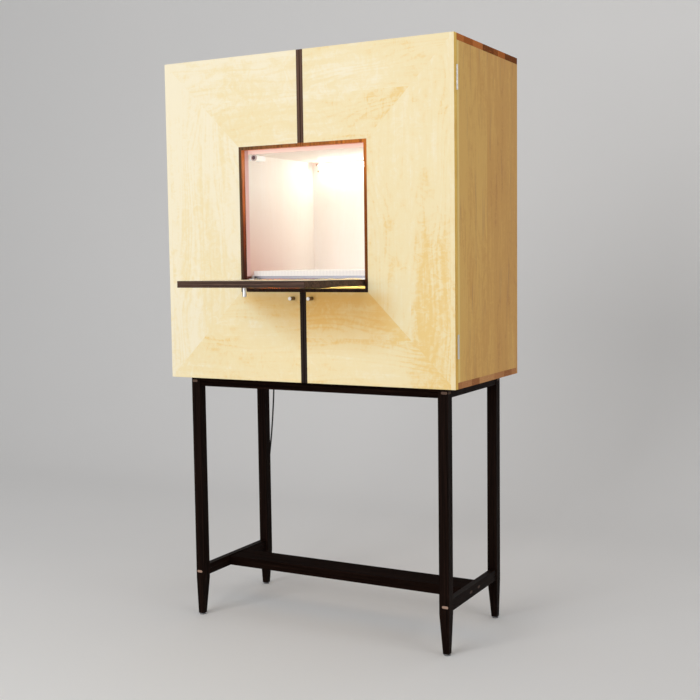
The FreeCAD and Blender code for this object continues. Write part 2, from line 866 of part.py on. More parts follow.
def glide(span, outer_is_front):
    """The glide under the right leg with its stem."""
    x, depth = foot_centre(span, outer_is_front)
    disc = rod(place(x, depth, 0), place(x, depth, glide_height), glide_radius)
    stem_top = glide_height + glide_stem_length
    stem = rod(place(x, depth, glide_height), place(x, depth, stem_top), glide_stem_radius)
    return join(disc, stem)


def cross_rail(front):
    """The front or the back rail under the cabinet, from its front depth."""
    depth = (front, front + rail_thickness)
    return block((-leg_inner_x, leg_inner_x), depth, (rail_base, stand_height))


def side_rail():
    """The right rail under the cabinet."""
    outer = leg_outer_x - rail_setback
    return block((outer - rail_thickness, outer), (front_leg[1], back_leg[0]), (rail_base, stand_height))


def side_stretcher():
    """The right stretcher between the legs, above the tapered feet."""
    outer = leg_outer_x - stretcher_setback
    span = (stretcher_base, stretcher_base + stretcher_height)
    return block((outer - stretcher_thickness, outer), (front_leg[1], back_leg[0]), span)


def long_stretcher():
    """The wide stretcher between the two side stretchers."""
    half = leg_outer_x - stretcher_setback - stretcher_thickness
    depth = (stand_middle - plank_width / 2, stand_middle + plank_width / 2)
    span = (stretcher_middle - plank_thickness / 2, stretcher_middle + plank_thickness / 2)
    return block((-half, half), depth, span)


front_rail_front = front_leg[0] + rail_setback
back_rail_front = back_leg[1] - rail_setback - rail_thickness


def rail_tenons():
    """The right-hand tenons through the legs into the front and back rails."""
    tenons = []
    for front in (front_rail_front, back_rail_front):
        centre = place(leg_outer_x, front + rail_thickness / 2, rail_middle)
        tenons.append(tenon(centre, X_AXIS * -1, Y_AXIS, leg_width + tenon_reach))
    return tenons


def side_tenons():
    """The right-hand tenons through the legs' front and back faces into the side rail and stretcher."""
    rail_x = leg_outer_x - rail_setback - rail_thickness / 2
    stretcher_x = leg_outer_x - stretcher_setback - stretcher_thickness / 2
    tenons = []
    for x, height in ((rail_x, rail_middle), (stretcher_x, stretcher_middle)):
        for depth, inward in ((front_leg[0], Y_AXIS), (back_leg[1], Y_AXIS * -1)):
            tenons.append(tenon(place(x, depth, height), inward, X_AXIS, leg_depth + tenon_reach))
    return tenons


def plank_tenons():
    """The right-hand tenons through the side stretcher into the long stretcher."""
    outer = leg_outer_x - stretcher_setback
    tenons = []
    for step in (-0.5, 0.5):
        centre = place(outer, stand_middle + step * plank_tenon_spacing, stretcher_middle)
        tenons.append(tenon(centre, X_AXIS * -1, Y_AXIS, stretcher_thickness + tenon_reach))
    return tenons


def tenon(start, inward, across, length):
    """A loose tenon with round edges whose outer end shows."""
    return oblong(start, inward, across, length, tenon_width, tenon_thickness)


def all_tenons():
    """Every tenon; where two cross in a leg, the one from the side rail is cut through."""
    through = both_sides(rail_tenons())
    crossing = both_sides(side_tenons())
    pieces = []
    for piece in crossing:
        pieces.extend(piece.cut(through).Solids)
    return through + pieces + both_sides(plank_tenons())


def stand_screws():
    """The screws up through the front, back and side rails into the bottom board."""
    places = []
    for front in (front_rail_front, back_rail_front):
        depth = front + rail_thickness / 2
        places.extend([(-front_screw_spacing / 2, depth), (front_screw_spacing / 2, depth)])
    side_x = leg_outer_x - rail_setback - rail_thickness / 2
    places.extend([(-side_x, stand_middle), (side_x, stand_middle)])
    screws = []
    for x, depth in places:
        base = place(x, depth, rail_base)
        head = rod(base, place(x, depth, rail_base + stand_screw_head_height), stand_screw_head_radius)
        shank = rod(base, place(x, depth, stand_height + stand_screw_reach), stand_screw_radius)
        screws.append(join(head, shank))
    return screws


# ---- Mains cord ----
def coil():
    """The outer shape of the wound-up cord."""
    half_across = coil_turns_across * cord_radius
    height = coil_turns_high * cord_diameter
    base = place(coil_x, coil_depth, 0)
    outer = Part.makeCylinder(coil_mean_radius + half_across, height, base)
    inner = Part.makeCylinder(coil_mean_radius - half_across, height, base)
    return cut(outer, inner)


def plug():
    """The flat two-pin plug that lies beside the coil, in line with where the cord leaves it."""
    start = coil_x + plug_distance
    depth = (tail_depth - plug_width / 2, tail_depth + plug_width / 2)
    body = block((start, start + plug_length), depth, (0, plug_height))
    body = body.makeFillet(plug_height / 4, body.Edges)
    pins = []
    for step in (-0.5, 0.5):
        pin_depth = tail_depth + step * plug_pin_spacing
        base = place(start + plug_length, pin_depth, plug_height / 2)
        end = place(start + plug_length + plug_pin_length, pin_depth, plug_height / 2)
        pins.append(rod(base, end, plug_pin_radius))
    return join(body, *pins)


def cord():
    """The cord's free stretches: from the strain relief to the coil, and from the coil to the plug."""
    fall = routed_tube([place(*point) for point in cord_route], cord_radius)
    top_turn = (coil_turns_high - 0.5) * cord_diameter
    tail = routed_tube(
        [
            place(coil_x, tail_depth, top_turn),
            place(coil_x + plug_distance / 2, tail_depth, (top_turn + plug_height / 2) / 2 - tail_sag),
            place(coil_x + plug_distance, tail_depth, plug_height / 2),
        ],
        cord_radius,
    )
    return [fall.cut(coil()), tail.cut([coil(), plug()])]


# ---- Write every sub-part ----
def save_cabinet():
    """Write the cabinet's boards and what is fixed to them."""
    lower_shelf = cut(cross_shelf(shelf_base), lead_slot())
    left_wall = mirrored(bar_wall())
    save("top_board", [top_board()])
    save("bottom_board", [bottom_board()])
    save("left_side_panel", [mirrored(side_panel())])
    save("right_side_panel", [side_panel()])
    save("back_panel", [back_panel()])
    save("lower_shelf", [lower_shelf])
    save("upper_shelf", [cross_shelf(opening_top)])
    save("bar_left_wall", [left_wall])
    save("bar_right_wall", [bar_wall()])
    save("bar_back_wall", [bar_back()])
    save("bar_ceiling", [bar_ceiling()])
    save("bar_floor_glass", [floor_plate()])
    save("floor_front_profile", [floor_profile()])
    save("floor_bearers", both_sides([floor_bearer()]))
    save("bay_shelves", both_sides([bay_shelf()]))
    save("shelf_pins", both_sides(bay_pins()))
    save("flap_stops", both_sides([flap_stop()]))
    save("flap_pivot_bushes", both_sides([pivot_bush()]))
    save("push_latch_housing", [latch_housing()])
    save("push_latch_plunger", [latch_plunger()])
    save("carcass_hinge_leaves", both_sides([hinge_leaf(middle, "carcass") for middle in hinge_heights]))
    save("hinge_pins", both_sides([hinge_pin(middle) for middle in hinge_heights]))
    save("carcass_hinge_screws", both_sides(carcass_screws()))
    width = (catch_offset, catch_offset + catch_width)
    depth = (carcass_front, carcass_front + catch_depth)
    save("door_catches", both_sides([block(width, depth, span) for span in catch_spans()]))


def save_lighting():
    """Write the lamps, their driver and the inner leads."""
    save("floor_led_strip", [floor_strip()])
    save("led_bar_housing", [led_bar_housing()])
    save("led_bar_diffuser", [led_bar_diffuser()])
    save("led_driver", [led_driver()])
    save("inner_leads", inner_leads())


def save_flap():
    """Write the flap's sub-parts, folded out."""
    sub_parts = {
        "panel": [flap_panel()],
        "lipping": flap_lipping(),
        "knob": [knob(flap_knob_base(), Y_AXIS * -1)],
        "lugs": both_sides([flap_lug()]),
        "strike_plate": [flap_strike()],
    }
    for name, shapes in sub_parts.items():
        save("flap_" + name, [fold_out(shape) for shape in shapes])


def save_stand():
    """Write the stand's sub-parts, with the tenons' mortises and the screws' and glides' holes."""
    tenons = all_tenons()
    for end, span, is_front in (("front", front_leg, True), ("back", back_leg, False)):
        post = cut(leg(span, is_front), glide(span, is_front), *rail_tenons(), *side_tenons())
        save(end + "_right_leg", [post])
        save(end + "_left_leg", [mirrored(post)])
    screws = stand_screws()
    save("front_rail", [cut(cross_rail(front_rail_front), *tenons, *screws)])
    save("back_rail", [cut(cross_rail(back_rail_front), *tenons, *screws)])
    save("side_rails", both_sides([cut(side_rail(), *side_tenons(), *screws)]))
    save("side_stretchers", both_sides([cut(side_stretcher(), *side_tenons(), *plank_tenons())]))
    save("long_stretcher", [cut(long_stretcher(), *both_sides(plank_tenons()))])
    save("exposed_tenons", tenons)
    glides = [glide(front_leg, True), glide(back_leg, False)]
    save("foot_glides", both_sides(glides))
    save("stand_screws", screws)


def save_cord():
    """Write the gland, the cord, its coil and its plug."""
    save("cord_gland", [gland()])
    save("mains_cord", cord())
    save("cord_coil", [coil()])
    save("mains_plug", [plug()])


os.makedirs("parts", exist_ok=True)
save_cabinet()
save_lighting()
save_door("left")
save_door("right")
save_flap()
save_stand()
save_cord()
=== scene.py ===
"""The looks of a bar cabinet with a fold-out shelf: materials, cord, small fittings, light and camera."""
import math

import bmesh
import bpy
from mathutils import Matrix, Vector


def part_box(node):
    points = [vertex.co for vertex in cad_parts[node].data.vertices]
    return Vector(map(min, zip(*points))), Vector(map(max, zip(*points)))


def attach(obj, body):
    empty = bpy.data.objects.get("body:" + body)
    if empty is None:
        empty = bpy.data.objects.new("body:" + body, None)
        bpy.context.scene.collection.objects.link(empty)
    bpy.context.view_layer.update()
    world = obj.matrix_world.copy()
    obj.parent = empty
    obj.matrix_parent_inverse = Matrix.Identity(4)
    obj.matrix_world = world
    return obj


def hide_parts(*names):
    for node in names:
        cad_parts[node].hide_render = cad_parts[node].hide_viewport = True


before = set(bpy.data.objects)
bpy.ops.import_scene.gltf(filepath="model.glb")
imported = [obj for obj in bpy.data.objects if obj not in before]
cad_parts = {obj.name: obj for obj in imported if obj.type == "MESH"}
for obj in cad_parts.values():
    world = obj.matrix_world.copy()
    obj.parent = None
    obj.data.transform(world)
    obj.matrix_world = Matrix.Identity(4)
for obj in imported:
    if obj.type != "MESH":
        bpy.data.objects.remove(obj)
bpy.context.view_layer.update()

# ---- Places, in metres, read from the model's parts ----
MM = 0.001
door_low, door_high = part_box("right_door_panel")
front_y = door_low[1]
cabinet_base = door_low[2]
cabinet_top = door_high[2]
cabinet_half = door_high[0]
wall_low, wall_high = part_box("bar_right_wall")
LIPPING_WIDTH = 10 * MM
opening_half = wall_low[0] + LIPPING_WIDTH
opening_base = wall_low[2]
opening_top = wall_high[2]
opening_middle = (opening_base + opening_top) / 2
opening_height = opening_top - opening_base
lining_front = wall_low[1]
floor_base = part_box("bar_floor_glass")[0][2]


def at(x, depth, z):
    """A point from millimetres: X, depth behind the doors' front face, and height."""
    return Vector((x * MM, front_y + depth * MM, z * MM))


def new_object(name, data):
    """A new object in the scene."""
    made = bpy.data.objects.new(name, data)
    bpy.context.scene.collection.objects.link(made)
    return made


# ---- Camera ----
CAMERA_PLACE = at(1755.7, -2938.1, 1180.7)
CAMERA_YAW = 28.508
CAMERA_PITCH = -4.708
CAMERA_ROLL = -0.752
CAMERA_FOCAL = 57.96
CAMERA_SENSOR = 36.0


def add_camera():
    """The camera at the photograph's viewing angle."""
    data = bpy.data.cameras.new("camera")
    data.lens = CAMERA_FOCAL
    data.sensor_width = CAMERA_SENSOR
    data.clip_end = 100.0
    camera = new_object("camera", data)
    turn = Matrix.Rotation(math.radians(CAMERA_YAW), 4, "Z")
    tilt = Matrix.Rotation(math.radians(90 + CAMERA_PITCH), 4, "X")
    roll = Matrix.Rotation(math.radians(CAMERA_ROLL), 4, "Z")
    camera.matrix_world = Matrix.Translation(CAMERA_PLACE) @ turn @ tilt @ roll
    bpy.context.scene.camera = camera


# ---- Mains cord, in millimetres ----
CORD_RADIUS = 2.75
COIL_X = -440.0
COIL_DEPTH = 700.0
COIL_RADIUS = 27.5
STEPS_PER_TURN = 12
CORD_ROUTE = [
    (-414.5, 480.0, 768.0),
    (-414.5, 480.0, 730.0),
    (-418.5, 481.0, 668.0),
    (-424.5, 482.0, 601.0),
    (-431.5, 483.0, 537.0),
    (-440.5, 484.0, 474.0),
    (-450.5, 485.0, 410.0),
    (-457.5, 486.0, 342.0),
    (-462.5, 487.0, 273.0),
    (-465.5, 487.0, 204.0),
    (-467.0, 487.0, 138.0),
    (-466.0, 487.5, 80.0),
    (-469.0, 492.0, 34.0),
    (-484.0, 517.0, CORD_RADIUS),
    (-505.0, 552.0, CORD_RADIUS),
    (-523.0, 587.0, CORD_RADIUS),
    (-530.0, 626.0, CORD_RADIUS),
    (-520.0, 664.0, CORD_RADIUS),
    (-495.0, 694.0, CORD_RADIUS),
]
# Each turn of the coil: its distance from the mean turn and its layer.
COIL_TURNS = [(1, 0), (-1, 0), (-1, 1), (1, 1), (1, 2)]
COIL_START_ANGLE = 150.0
COIL_END_ANGLE = 90.0
TAIL = [(-410.0, 730.25, 12.0), (-390.0, 730.25, 8.5), (-378.0, 730.25, 7.2), (-373.0, 730.25, 7.0)]


def coil_points():
    """Control points of the wound-up turns, clockwise as seen from above."""
    total = 360.0 * len(COIL_TURNS) + COIL_START_ANGLE - COIL_END_ANGLE
    step = 360.0 / STEPS_PER_TURN
    # A spline of order 3 runs inside its control points.
    spread = 1 / math.cos(math.radians(step / 2))
    points = []
    for index in range(int(total / step) + 1):
        turned_by = index * step
        place = turned_by / 360.0
        whole = min(int(place), len(COIL_TURNS) - 1)
        following = min(whole + 1, len(COIL_TURNS) - 1)
        # The change to the next turn takes the last quarter of this one.
        change = max(0.0, (place - whole - 0.75) * 4)
        side = COIL_TURNS[whole][0] * (1 - change) + COIL_TURNS[following][0] * change
        layer = COIL_TURNS[whole][1] * (1 - change) + COIL_TURNS[following][1] * change
        radius = (COIL_RADIUS + side * CORD_RADIUS) * spread
        angle = math.radians(COIL_START_ANGLE - turned_by)
        height = CORD_RADIUS + layer * 2 * CORD_RADIUS
        points.append((COIL_X + radius * math.cos(angle), COIL_DEPTH + radius * math.sin(angle), height))
    return points


def add_cord(material):
    """The cord on one smooth curve, from the strain relief through its coil to the plug."""
    points = CORD_ROUTE + coil_points() + TAIL
    curve = bpy.data.curves.new("cord", "CURVE")
    curve.dimensions = "3D"
    curve.bevel_depth = CORD_RADIUS * MM
    curve.bevel_resolution = 3
    curve.resolution_u = 6
    curve.use_fill_caps = True
    spline = curve.splines.new("NURBS")
    spline.points.add(len(points) - 1)
    for point, place in zip(spline.points, points):
        point.co = (*at(*place), 1.0)
    spline.order_u = 3
    spline.use_endpoint_u = True
    curve.materials.append(material)
    cord = new_object("cord_line", curve)
    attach(cord, "cabinet")
    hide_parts("mains_cord", "cord_coil")
    return cord


# ---- Material helpers; lengths in materials are in metres ----
BLACK = (0.0, 0.0, 0.0)
FULL_TURN = 2 * math.pi
FINE_RELIEF = 0.0002
SMALL_EDGE = 0.0005
# A surface faces along an axis when more than this share of its normal lies along it.
FACING = 0.7


def scaled_colour(colour, factor):
    """A darker or lighter tone of a colour."""
    return tuple(value * factor for value in colour)


def by_node(operation):
    """A method that puts one or two numbers through a math node."""
    return lambda first, second=0.0: first.shading.math(operation, first, second)


class Number:
    """A number worked out by a material's nodes.

    It takes plain arithmetic. A comparison gives 1 or 0, and | gives the larger of two numbers.
    """

    def __init__(self, shading, socket):
        self.shading = shading
        self.socket = socket

    __add__ = by_node("ADD")
    __sub__ = by_node("SUBTRACT")
    __mul__ = by_node("MULTIPLY")
    __truediv__ = by_node("DIVIDE")
    __pow__ = by_node("POWER")
    __gt__ = by_node("GREATER_THAN")
    __lt__ = by_node("LESS_THAN")
    __or__ = by_node("MAXIMUM")
    __abs__ = by_node("ABSOLUTE")

    def __rsub__(self, other):
        return self.shading.math("SUBTRACT", other, self)

    def __floordiv__(self, other):
        return self.shading.math("FLOOR", self / other)

    def clamped(self):
        """The same number, kept from 0 to 1."""
        self.socket.node.use_clamp = True
        return self


class Shading:
    """One material's nodes."""

    def __init__(self, name):
        self.material = bpy.data.materials.new(name)
        self.material.use_nodes = True
        self.tree = self.material.node_tree
        self.shader = self.tree.nodes["Principled BSDF"]
        coordinates = self.tree.nodes.new("ShaderNodeTexCoord")
        self.place = coordinates.outputs["Object"]
        self.normal = coordinates.outputs["Normal"]

    def link(self, source, target):
        """Link a number or an output to an input, or set the input to a plain value or colour."""
        if isinstance(source, Number):
            source = source.socket
        if isinstance(source, bpy.types.NodeSocket):
            self.tree.links.new(source, target)
        elif target.type == "RGBA":
            target.default_value = (*source, 1.0)
        else:
            target.default_value = source

    def node(self, kind, inputs, **settings):
        """A new node with its properties set and its inputs set or linked."""
        made = self.tree.nodes.new(kind)
        for key, value in settings.items():
            setattr(made, key, value)
        for key, value in inputs.items():
            self.link(value, made.inputs[key])
        return made

    def math(self, operation, first, second=0.0):
        """The result of a math node."""
        made = self.node("ShaderNodeMath", {0: first, 1: second}, operation=operation)
        return Number(self, made.outputs[0])

    def split(self, vector):
        """The X, Y and Z of a vector."""
        return [Number(self, part) for part in self.node("ShaderNodeSeparateXYZ", {0: vector}).outputs]

    def combine(self, x, y, z):
        """A vector from its X, Y and Z."""
        return self.node("ShaderNodeCombineXYZ", {0: x, 1: y, 2: z}).outputs[0]

    def faces(self, axis, share=FACING):
        """1 where the surface faces either way along an axis, 0 for X and 1 for Y, else 0."""
        return abs(self.split(self.normal)[axis]) > share

    def noise(self, vector, scale, detail=2.0, roughness=0.5, distortion=0.0, offset=(0, 0, 0)):
        """Smooth noise from 0 to 1, with one scale or with one for each axis."""
        if isinstance(scale, tuple):
            inputs = {"Vector": vector, "Scale": scale, "Location": offset}
            vector = self.node("ShaderNodeMapping", inputs).outputs[0]
            scale = 1.0
        inputs = {"Vector": vector, "Scale": scale, "Detail": detail, "Roughness": roughness}
        made = self.node("ShaderNodeTexNoise", {**inputs, "Distortion": distortion})
        return Number(self, made.outputs["Fac"])

    def ramp(self, factor, stops):
        """A smooth colour ramp with stops of (position, colour)."""
        made = self.node("ShaderNodeValToRGB", {0: factor})
        made.color_ramp.interpolation = "EASE"
        elements = made.color_ramp.elements
        while len(elements) < len(stops):
            elements.new(1.0)
        for element, (position, colour) in zip(elements, stops):
            element.position = position
            element.color = (*colour, 1.0)
        return made.outputs[0]

    def mix(self, factor, first, second, mode="MIX", data="RGBA"):
        """Two colours mixed."""
        inputs = {"Factor": factor, "A": first, "B": second}
        return self.node("ShaderNodeMix", inputs, data_type=data, blend_type=mode).outputs["Result"]

    def chosen(self, factor, first, second):
        """The first number where the factor is 0 and the second where it is 1."""
        return Number(self, self.mix(factor, first, second, data="FLOAT"))

    def remap(self, value, low, high):
        """A number from 0 to 1 spread between low and high."""
        inputs = {"Value": value, "To Min": low, "To Max": high}
        return Number(self, self.node("ShaderNodeMapRange", inputs).outputs["Result"])

    def random(self, whole):
        """A random number from -0.5 to 0.5 for each whole number."""
        made = self.node("ShaderNodeTexWhiteNoise", {"W": whole}, noise_dimensions="1D")
        return Number(self, made.outputs["Value"]) - 0.5

    def bump(self, height, strength, distance=FINE_RELIEF, edge_radius=0.0):
        """Relief from a height, over slightly rounded edges."""
        made = self.node("ShaderNodeBump", {"Strength": strength, "Distance": distance, "Height": height})
        if edge_radius:
            rounded = self.node("ShaderNodeBevel", {"Radius": edge_radius}, samples=4)
            self.link(rounded.outputs[0], made.inputs["Normal"])
        self.set(Normal=made.outputs[0])

    def set(self, **values):
        """Set or link sockets of the shader. An underscore stands for a space in a name."""
        for key, value in values.items():
            self.link(value, self.shader.inputs[key.replace("_", " ")])


# ---- Maple: its tones from pale to dark for each use ----
PALE_MAPLE = [(0.22, (0.905, 0.815, 0.60)), (0.50, (0.872, 0.735, 0.437)), (0.80, (0.84, 0.60, 0.235))]
# The golden tone is partly painted warm shade, as on the cabinet's sides.
GOLDEN_MAPLE_WARM_SHADE = [(0.22, (0.76, 0.452, 0.113)), (0.50, (0.67, 0.354, 0.082)), (0.80, (0.55, 0.252, 0.059))]
INSIDE_MAPLE = [(0.15, (0.90, 0.81, 0.62)), (0.50, (0.86, 0.74, 0.50)), (0.85, (0.79, 0.64, 0.38))]
# The lining's near-white tone is maple paled by painted lamp light.
LINING_MAPLE_PAINTED_LIT = [(0.15, (0.925, 0.90, 0.845)), (0.50, (0.91, 0.87, 0.80)), (0.85, (0.88, 0.81, 0.73))]
FLAP_MAPLE = [(0.22, (0.95, 0.87, 0.69)), (0.50, (0.92, 0.81, 0.58)), (0.80, (0.87, 0.70, 0.40))]
EDGE_MAPLE = [(0.22, (0.95, 0.60, 0.10)), (0.80, (0.74, 0.40, 0.055))]
FLECK_COLOUR = (0.43, 0.205, 0.085)
RINGS_PER_FIELD = 21.0
RINGS_PER_METRE = 14.0
FIBRE_RELIEF = 0.0004
WOOD_EDGE = 0.0007
# How far each stave's figure lies from its neighbour's, and the range of its tone.
STAVE_SHIFT = 0.7
STAVE_TONE = 0.14


def turned_for_grain(shading, along):
    """Object coordinates turned so that the grain runs along Z."""
    x, y, z = shading.split(shading.place)
    if along == "X":
        return shading.combine(z, y, x)
    if along == "Y":
        return shading.combine(x, z, y)
    return shading.combine(x, y, z)


def maple_figure(shading, grain, curl):
    """Tone of maple from 0, pale, to 1, dark, and its fibres.

    The growth rings are the level lines of a smooth field that is long with the grain, so they close in
    pointed arches. Short curls lie across the grain in patches.
    """
    field = shading.noise(grain, (5.6, 5.6, 1.15))
    phase = field * RINGS_PER_FIELD + shading.split(grain)[0] * RINGS_PER_METRE
    rings = (shading.math("SINE", phase * FULL_TURN) * 0.5 + 0.5) ** 2.5
    bands = shading.noise(grain, (24.0, 24.0, 1.0))
    fibres = shading.noise(grain, (480.0, 480.0, 12.0), detail=3.0, roughness=0.6)
    streaks = shading.noise(grain, (60.0, 60.0, 9.0), detail=3.0, roughness=0.6, distortion=1.2)
    curls = shading.noise(grain, (30.0, 30.0, 40.0), detail=4.0, roughness=0.62, distortion=1.6)
    patches = shading.noise(grain, (4.0, 4.0, 3.0), offset=(3.1, 0.0, 1.7))
    tone = (rings - 0.4) * 0.09
    for part, weight in ((bands, 0.46), (streaks, 0.30), (fibres, 0.17), (patches, 0.55)):
        tone = (part - 0.5) * weight + tone
    return tone + (curls - 0.5) * patches * curl + 0.42, fibres


def flecks(shading, grain):
    """Long pointed flecks of darker heartwood from 0 to 1: the peaks of a noise, cut sharply."""
    peaks = shading.noise(grain, (58.0, 58.0, 4.2), offset=(0.0, 5.0, 0.0)) - 0.60
    return (peaks * 7.0).clamped()


def staves(shading, across, through, length, width):
    """The grain of staves of one width, each cut from another part, and a random number for each."""
    stave = across // width
    return shading.combine(across, through + stave * STAVE_SHIFT, length), shading.random(stave)


def wood_finish(shading, fibres, roughness):
    """A satin lacquered surface with a trace of the fibres."""
    shading.set(Roughness=shading.remap(fibres, roughness - 0.05, roughness + 0.07))
    shading.set(Coat_Weight=0.05, Coat_Roughness=0.3, Specular_IOR_Level=0.28)
    shading.bump(fibres, 0.10, FIBRE_RELIEF, WOOD_EDGE)


def maple(name, along, stops, stave_width, curl=1.1, roughness=0.48, fleck=0.0):
    """Maple in staves or leaves of one width, each in its own tone, with the grain along one axis."""
    shading = Shading(name)
    grain, own = staves(shading, *shading.split(turned_for_grain(shading, along)), stave_width)
    tone, fibres = maple_figure(shading, grain, curl)
    colour = shading.ramp(tone + own * STAVE_TONE, stops)
    if fleck:
        colour = shading.mix(flecks(shading, grain) * fleck, colour, FLECK_COLOUR)
    shading.set(Base_Color=colour)
    wood_finish(shading, fibres, roughness)
    return shading.material


# Painted light and shade on the lining: a pink cast, pink front edges and front face, painted shade below
# the glass floor, and a glow.
LINING_PAINTED_CAST = (0.72, 0.45, 0.385)
LINING_PAINTED_EDGE_LIGHT = (0.74, 0.46, 0.45)
LINING_PAINTED_FRONT_LIGHT = (0.95, 0.66, 0.58)
LINING_PAINTED_SHADE = (0.17, 0.040, 0.022)
LINING_PAINTED_GLOW = (1.0, 0.68, 0.60)
LINING_PAINTED_GLOW_STRENGTH = 0.36
LINING_PAINTED_GLOW_SHARE = 0.18
LINING_EDGE_DEPTH = 0.019
LINING_TOP = 0.030
# The painted pink cast of light: the depth it fades over, its share at the front and at the back, and its
# lag going down.
CAST_DEPTH = 0.32
CAST_NEAR = 1.2
CAST_FAR = 0.15
CAST_LAG = 0.35


def bar_lining(name, along):
    """The bar's nearly white lining, paled by painted lamp light; pinker below and in front by a painted
    pink cast of light, and darkened by painted shade on its sides below the glass floor.

    It glows faintly above that floor, and more on the front of its upper edge; it is no lamp, so this glow
    is painted light.
    """
    shading = Shading(name)
    _, y, z = shading.split(shading.place)
    tone, fibres = maple_figure(shading, turned_for_grain(shading, along), 0.5)
    side = shading.faces(0)
    # The painted pink cast of light, deepest low and towards the front.
    fall = (opening_top - z) / opening_height
    near = CAST_NEAR - (y - lining_front) / CAST_DEPTH
    painted_cast = ((fall * (1 + CAST_LAG) - CAST_LAG).clamped() * (near | CAST_FAR)).clamped()
    colour = shading.mix(painted_cast, shading.ramp(tone, LINING_MAPLE_PAINTED_LIT), LINING_PAINTED_CAST)
    # Painted pink light on the front edges of the side walls.
    colour = shading.mix((y < lining_front + LINING_EDGE_DEPTH) * side, colour, LINING_PAINTED_EDGE_LIGHT)
    # Painted shade on the side walls below the glass floor.
    colour = shading.mix((z < floor_base) * side, colour, LINING_PAINTED_SHADE)
    # Painted pink light on the forward face at the top of the lining.
    front = (shading.split(shading.normal)[1] < -FACING) * (z > opening_top - LINING_TOP)
    shading.set(Base_Color=shading.mix(front, colour, LINING_PAINTED_FRONT_LIGHT))
    # The lining is no lamp: its glow is painted light, faint above the glass floor and full on that
    # forward face.
    glow = shading.mix((z > floor_base) * LINING_PAINTED_GLOW_SHARE | front, BLACK, LINING_PAINTED_GLOW)
    shading.set(Emission_Color=glow, Emission_Strength=LINING_PAINTED_GLOW_STRENGTH)
    wood_finish(shading, fibres, 0.5)
    return shading.material


LEAF_WIDTH = 0.139
LEAF_TONE = 0.07
EDGE_STRIP = 0.014
EDGE_STRIP_TONE = -0.06
VENEER_JOINT = 0.0004
JOINT_TONE = 0.10
# Tone added along the mitres and below the opening, its reach, and the share that the left side lacks.
# Below the opening the tone is partly the veneer's and partly painted shade of the flap.
MITRE_TONE = 0.10
MITRE_REACH = 0.13
MITRE_LEFT_LACK = 0.75
UNDER_TONE_AND_SHADE = 0.20
UNDER_REACH = 0.20
UNDER_LEFT_LACK = 0.70
# The flap's painted warm shadow below the opening: its colour, its drop at the left and what the right
# adds, and its soft edges.
FLAP_SHADOW_COLOUR = (0.95, 0.79, 0.55)
FLAP_SHADOW_DROP = 0.022
FLAP_SHADOW_DROP_RIGHT = 0.105
FLAP_SHADOW_TOP = 0.012
FLAP_SHADOW_TOP_SOFT = 0.03
FLAP_SHADOW_LEFT = 0.005
FLAP_SHADOW_LEFT_SOFT = 0.02
FLAP_SHADOW_RIGHT = 0.10
FLAP_SHADOW_RIGHT_SOFT = 0.07


def painted_flap_shadow(shading):
    """The flap's painted shadow below the opening, narrow on the left and deep on the right: 1 inside,
    fading to 0.
    """
    x, _, z = shading.split(shading.place)
    drop = opening_base - z
    reach = ((x + opening_half) / opening_half).clamped() * FLAP_SHADOW_DROP_RIGHT + FLAP_SHADOW_DROP
    faded = (1.55 - drop / reach).clamped()
    begun = ((drop + FLAP_SHADOW_TOP) / FLAP_SHADOW_TOP_SOFT).clamped()
    ended = ((opening_half + FLAP_SHADOW_RIGHT - x) / FLAP_SHADOW_RIGHT_SOFT).clamped()
    started = ((x + (opening_half + FLAP_SHADOW_LEFT)) / FLAP_SHADOW_LEFT_SOFT).clamped()
    return faded * begun * (ended * started)


def door_veneer():
    """Pale maple veneer in four mitred fields around the opening, with a narrow solid outer edge.

    The grain is upright beside the opening and level above and below it. The fields meet on the lines from
    the opening's corners to the cabinet's corners, and each leaf of a field is cut from another part.
    """
    shading = Shading("door_veneer")
    x, y, z = shading.split(shading.place)
    rise = z - opening_middle
    low = rise < 0.0
    left = x < 0.0
    beside = abs(x) - opening_half
    above = abs(rise) - opening_height / 2
    outside = abs(x) - (cabinet_half - EDGE_STRIP)
    strip = outside > 0.0
    level = (above > beside) * (1.0 - strip)
    across = shading.chosen(level, beside, above)
    along = shading.chosen(level, z, x)
    # A number that no two leaves share.
    piece = across // LEAF_WIDTH * 3.7 + left * 1.9 + low * level * 5.3 + level * 11.0 + strip * 23.0
    grain = shading.combine(across, y + piece, along + piece)
    tone, fibres = maple_figure(shading, grain, 1.0)
    # The leaves are warmer to the right and below, and along the right-hand mitres; below the opening
    # painted shade of the flap is added to the veneer's tone.
    tone = tone + shading.random(piece) * LEAF_TONE + (x * 0.30 - rise * 0.14 + 0.03)
    by_mitre = (1.0 - abs(above - beside) / MITRE_REACH).clamped()
    tone = tone + by_mitre * (level * MITRE_TONE) * (1.0 - left * MITRE_LEFT_LACK)
    near = (1.0 - above / UNDER_REACH).clamped()
    tone = tone + near * level * (low * UNDER_TONE_AND_SHADE) * (1.0 - left * UNDER_LEFT_LACK)
    joint = (abs(outside) < VENEER_JOINT) | (shading.math("PINGPONG", across, LEAF_WIDTH) < VENEER_JOINT)
    tone = tone + level * 0.01 + strip * EDGE_STRIP_TONE + joint * JOINT_TONE
    face = shading.ramp(tone, PALE_MAPLE)
    # Painted warm shadow of the flap below the opening.
    face = shading.mix(painted_flap_shadow(shading) * low, face, FLAP_SHADOW_COLOUR, "MULTIPLY")
    shading.set(Base_Color=shading.mix(shading.faces(0), face, shading.ramp(tone, EDGE_MAPLE)))
    wood_finish(shading, fibres, 0.44)
    return shading.material


SIDE_STAVE = 0.083
SIDE_STAVE_TONE = 0.16
# The sides darken by this tone for each metre of depth, from a middle depth.
SIDE_DARKENING = 0.55
SIDE_MIDDLE = 0.25
SIDE_LIPPING_END = 0.033
SIDE_LIPPING = (0.97, 0.76, 0.27)


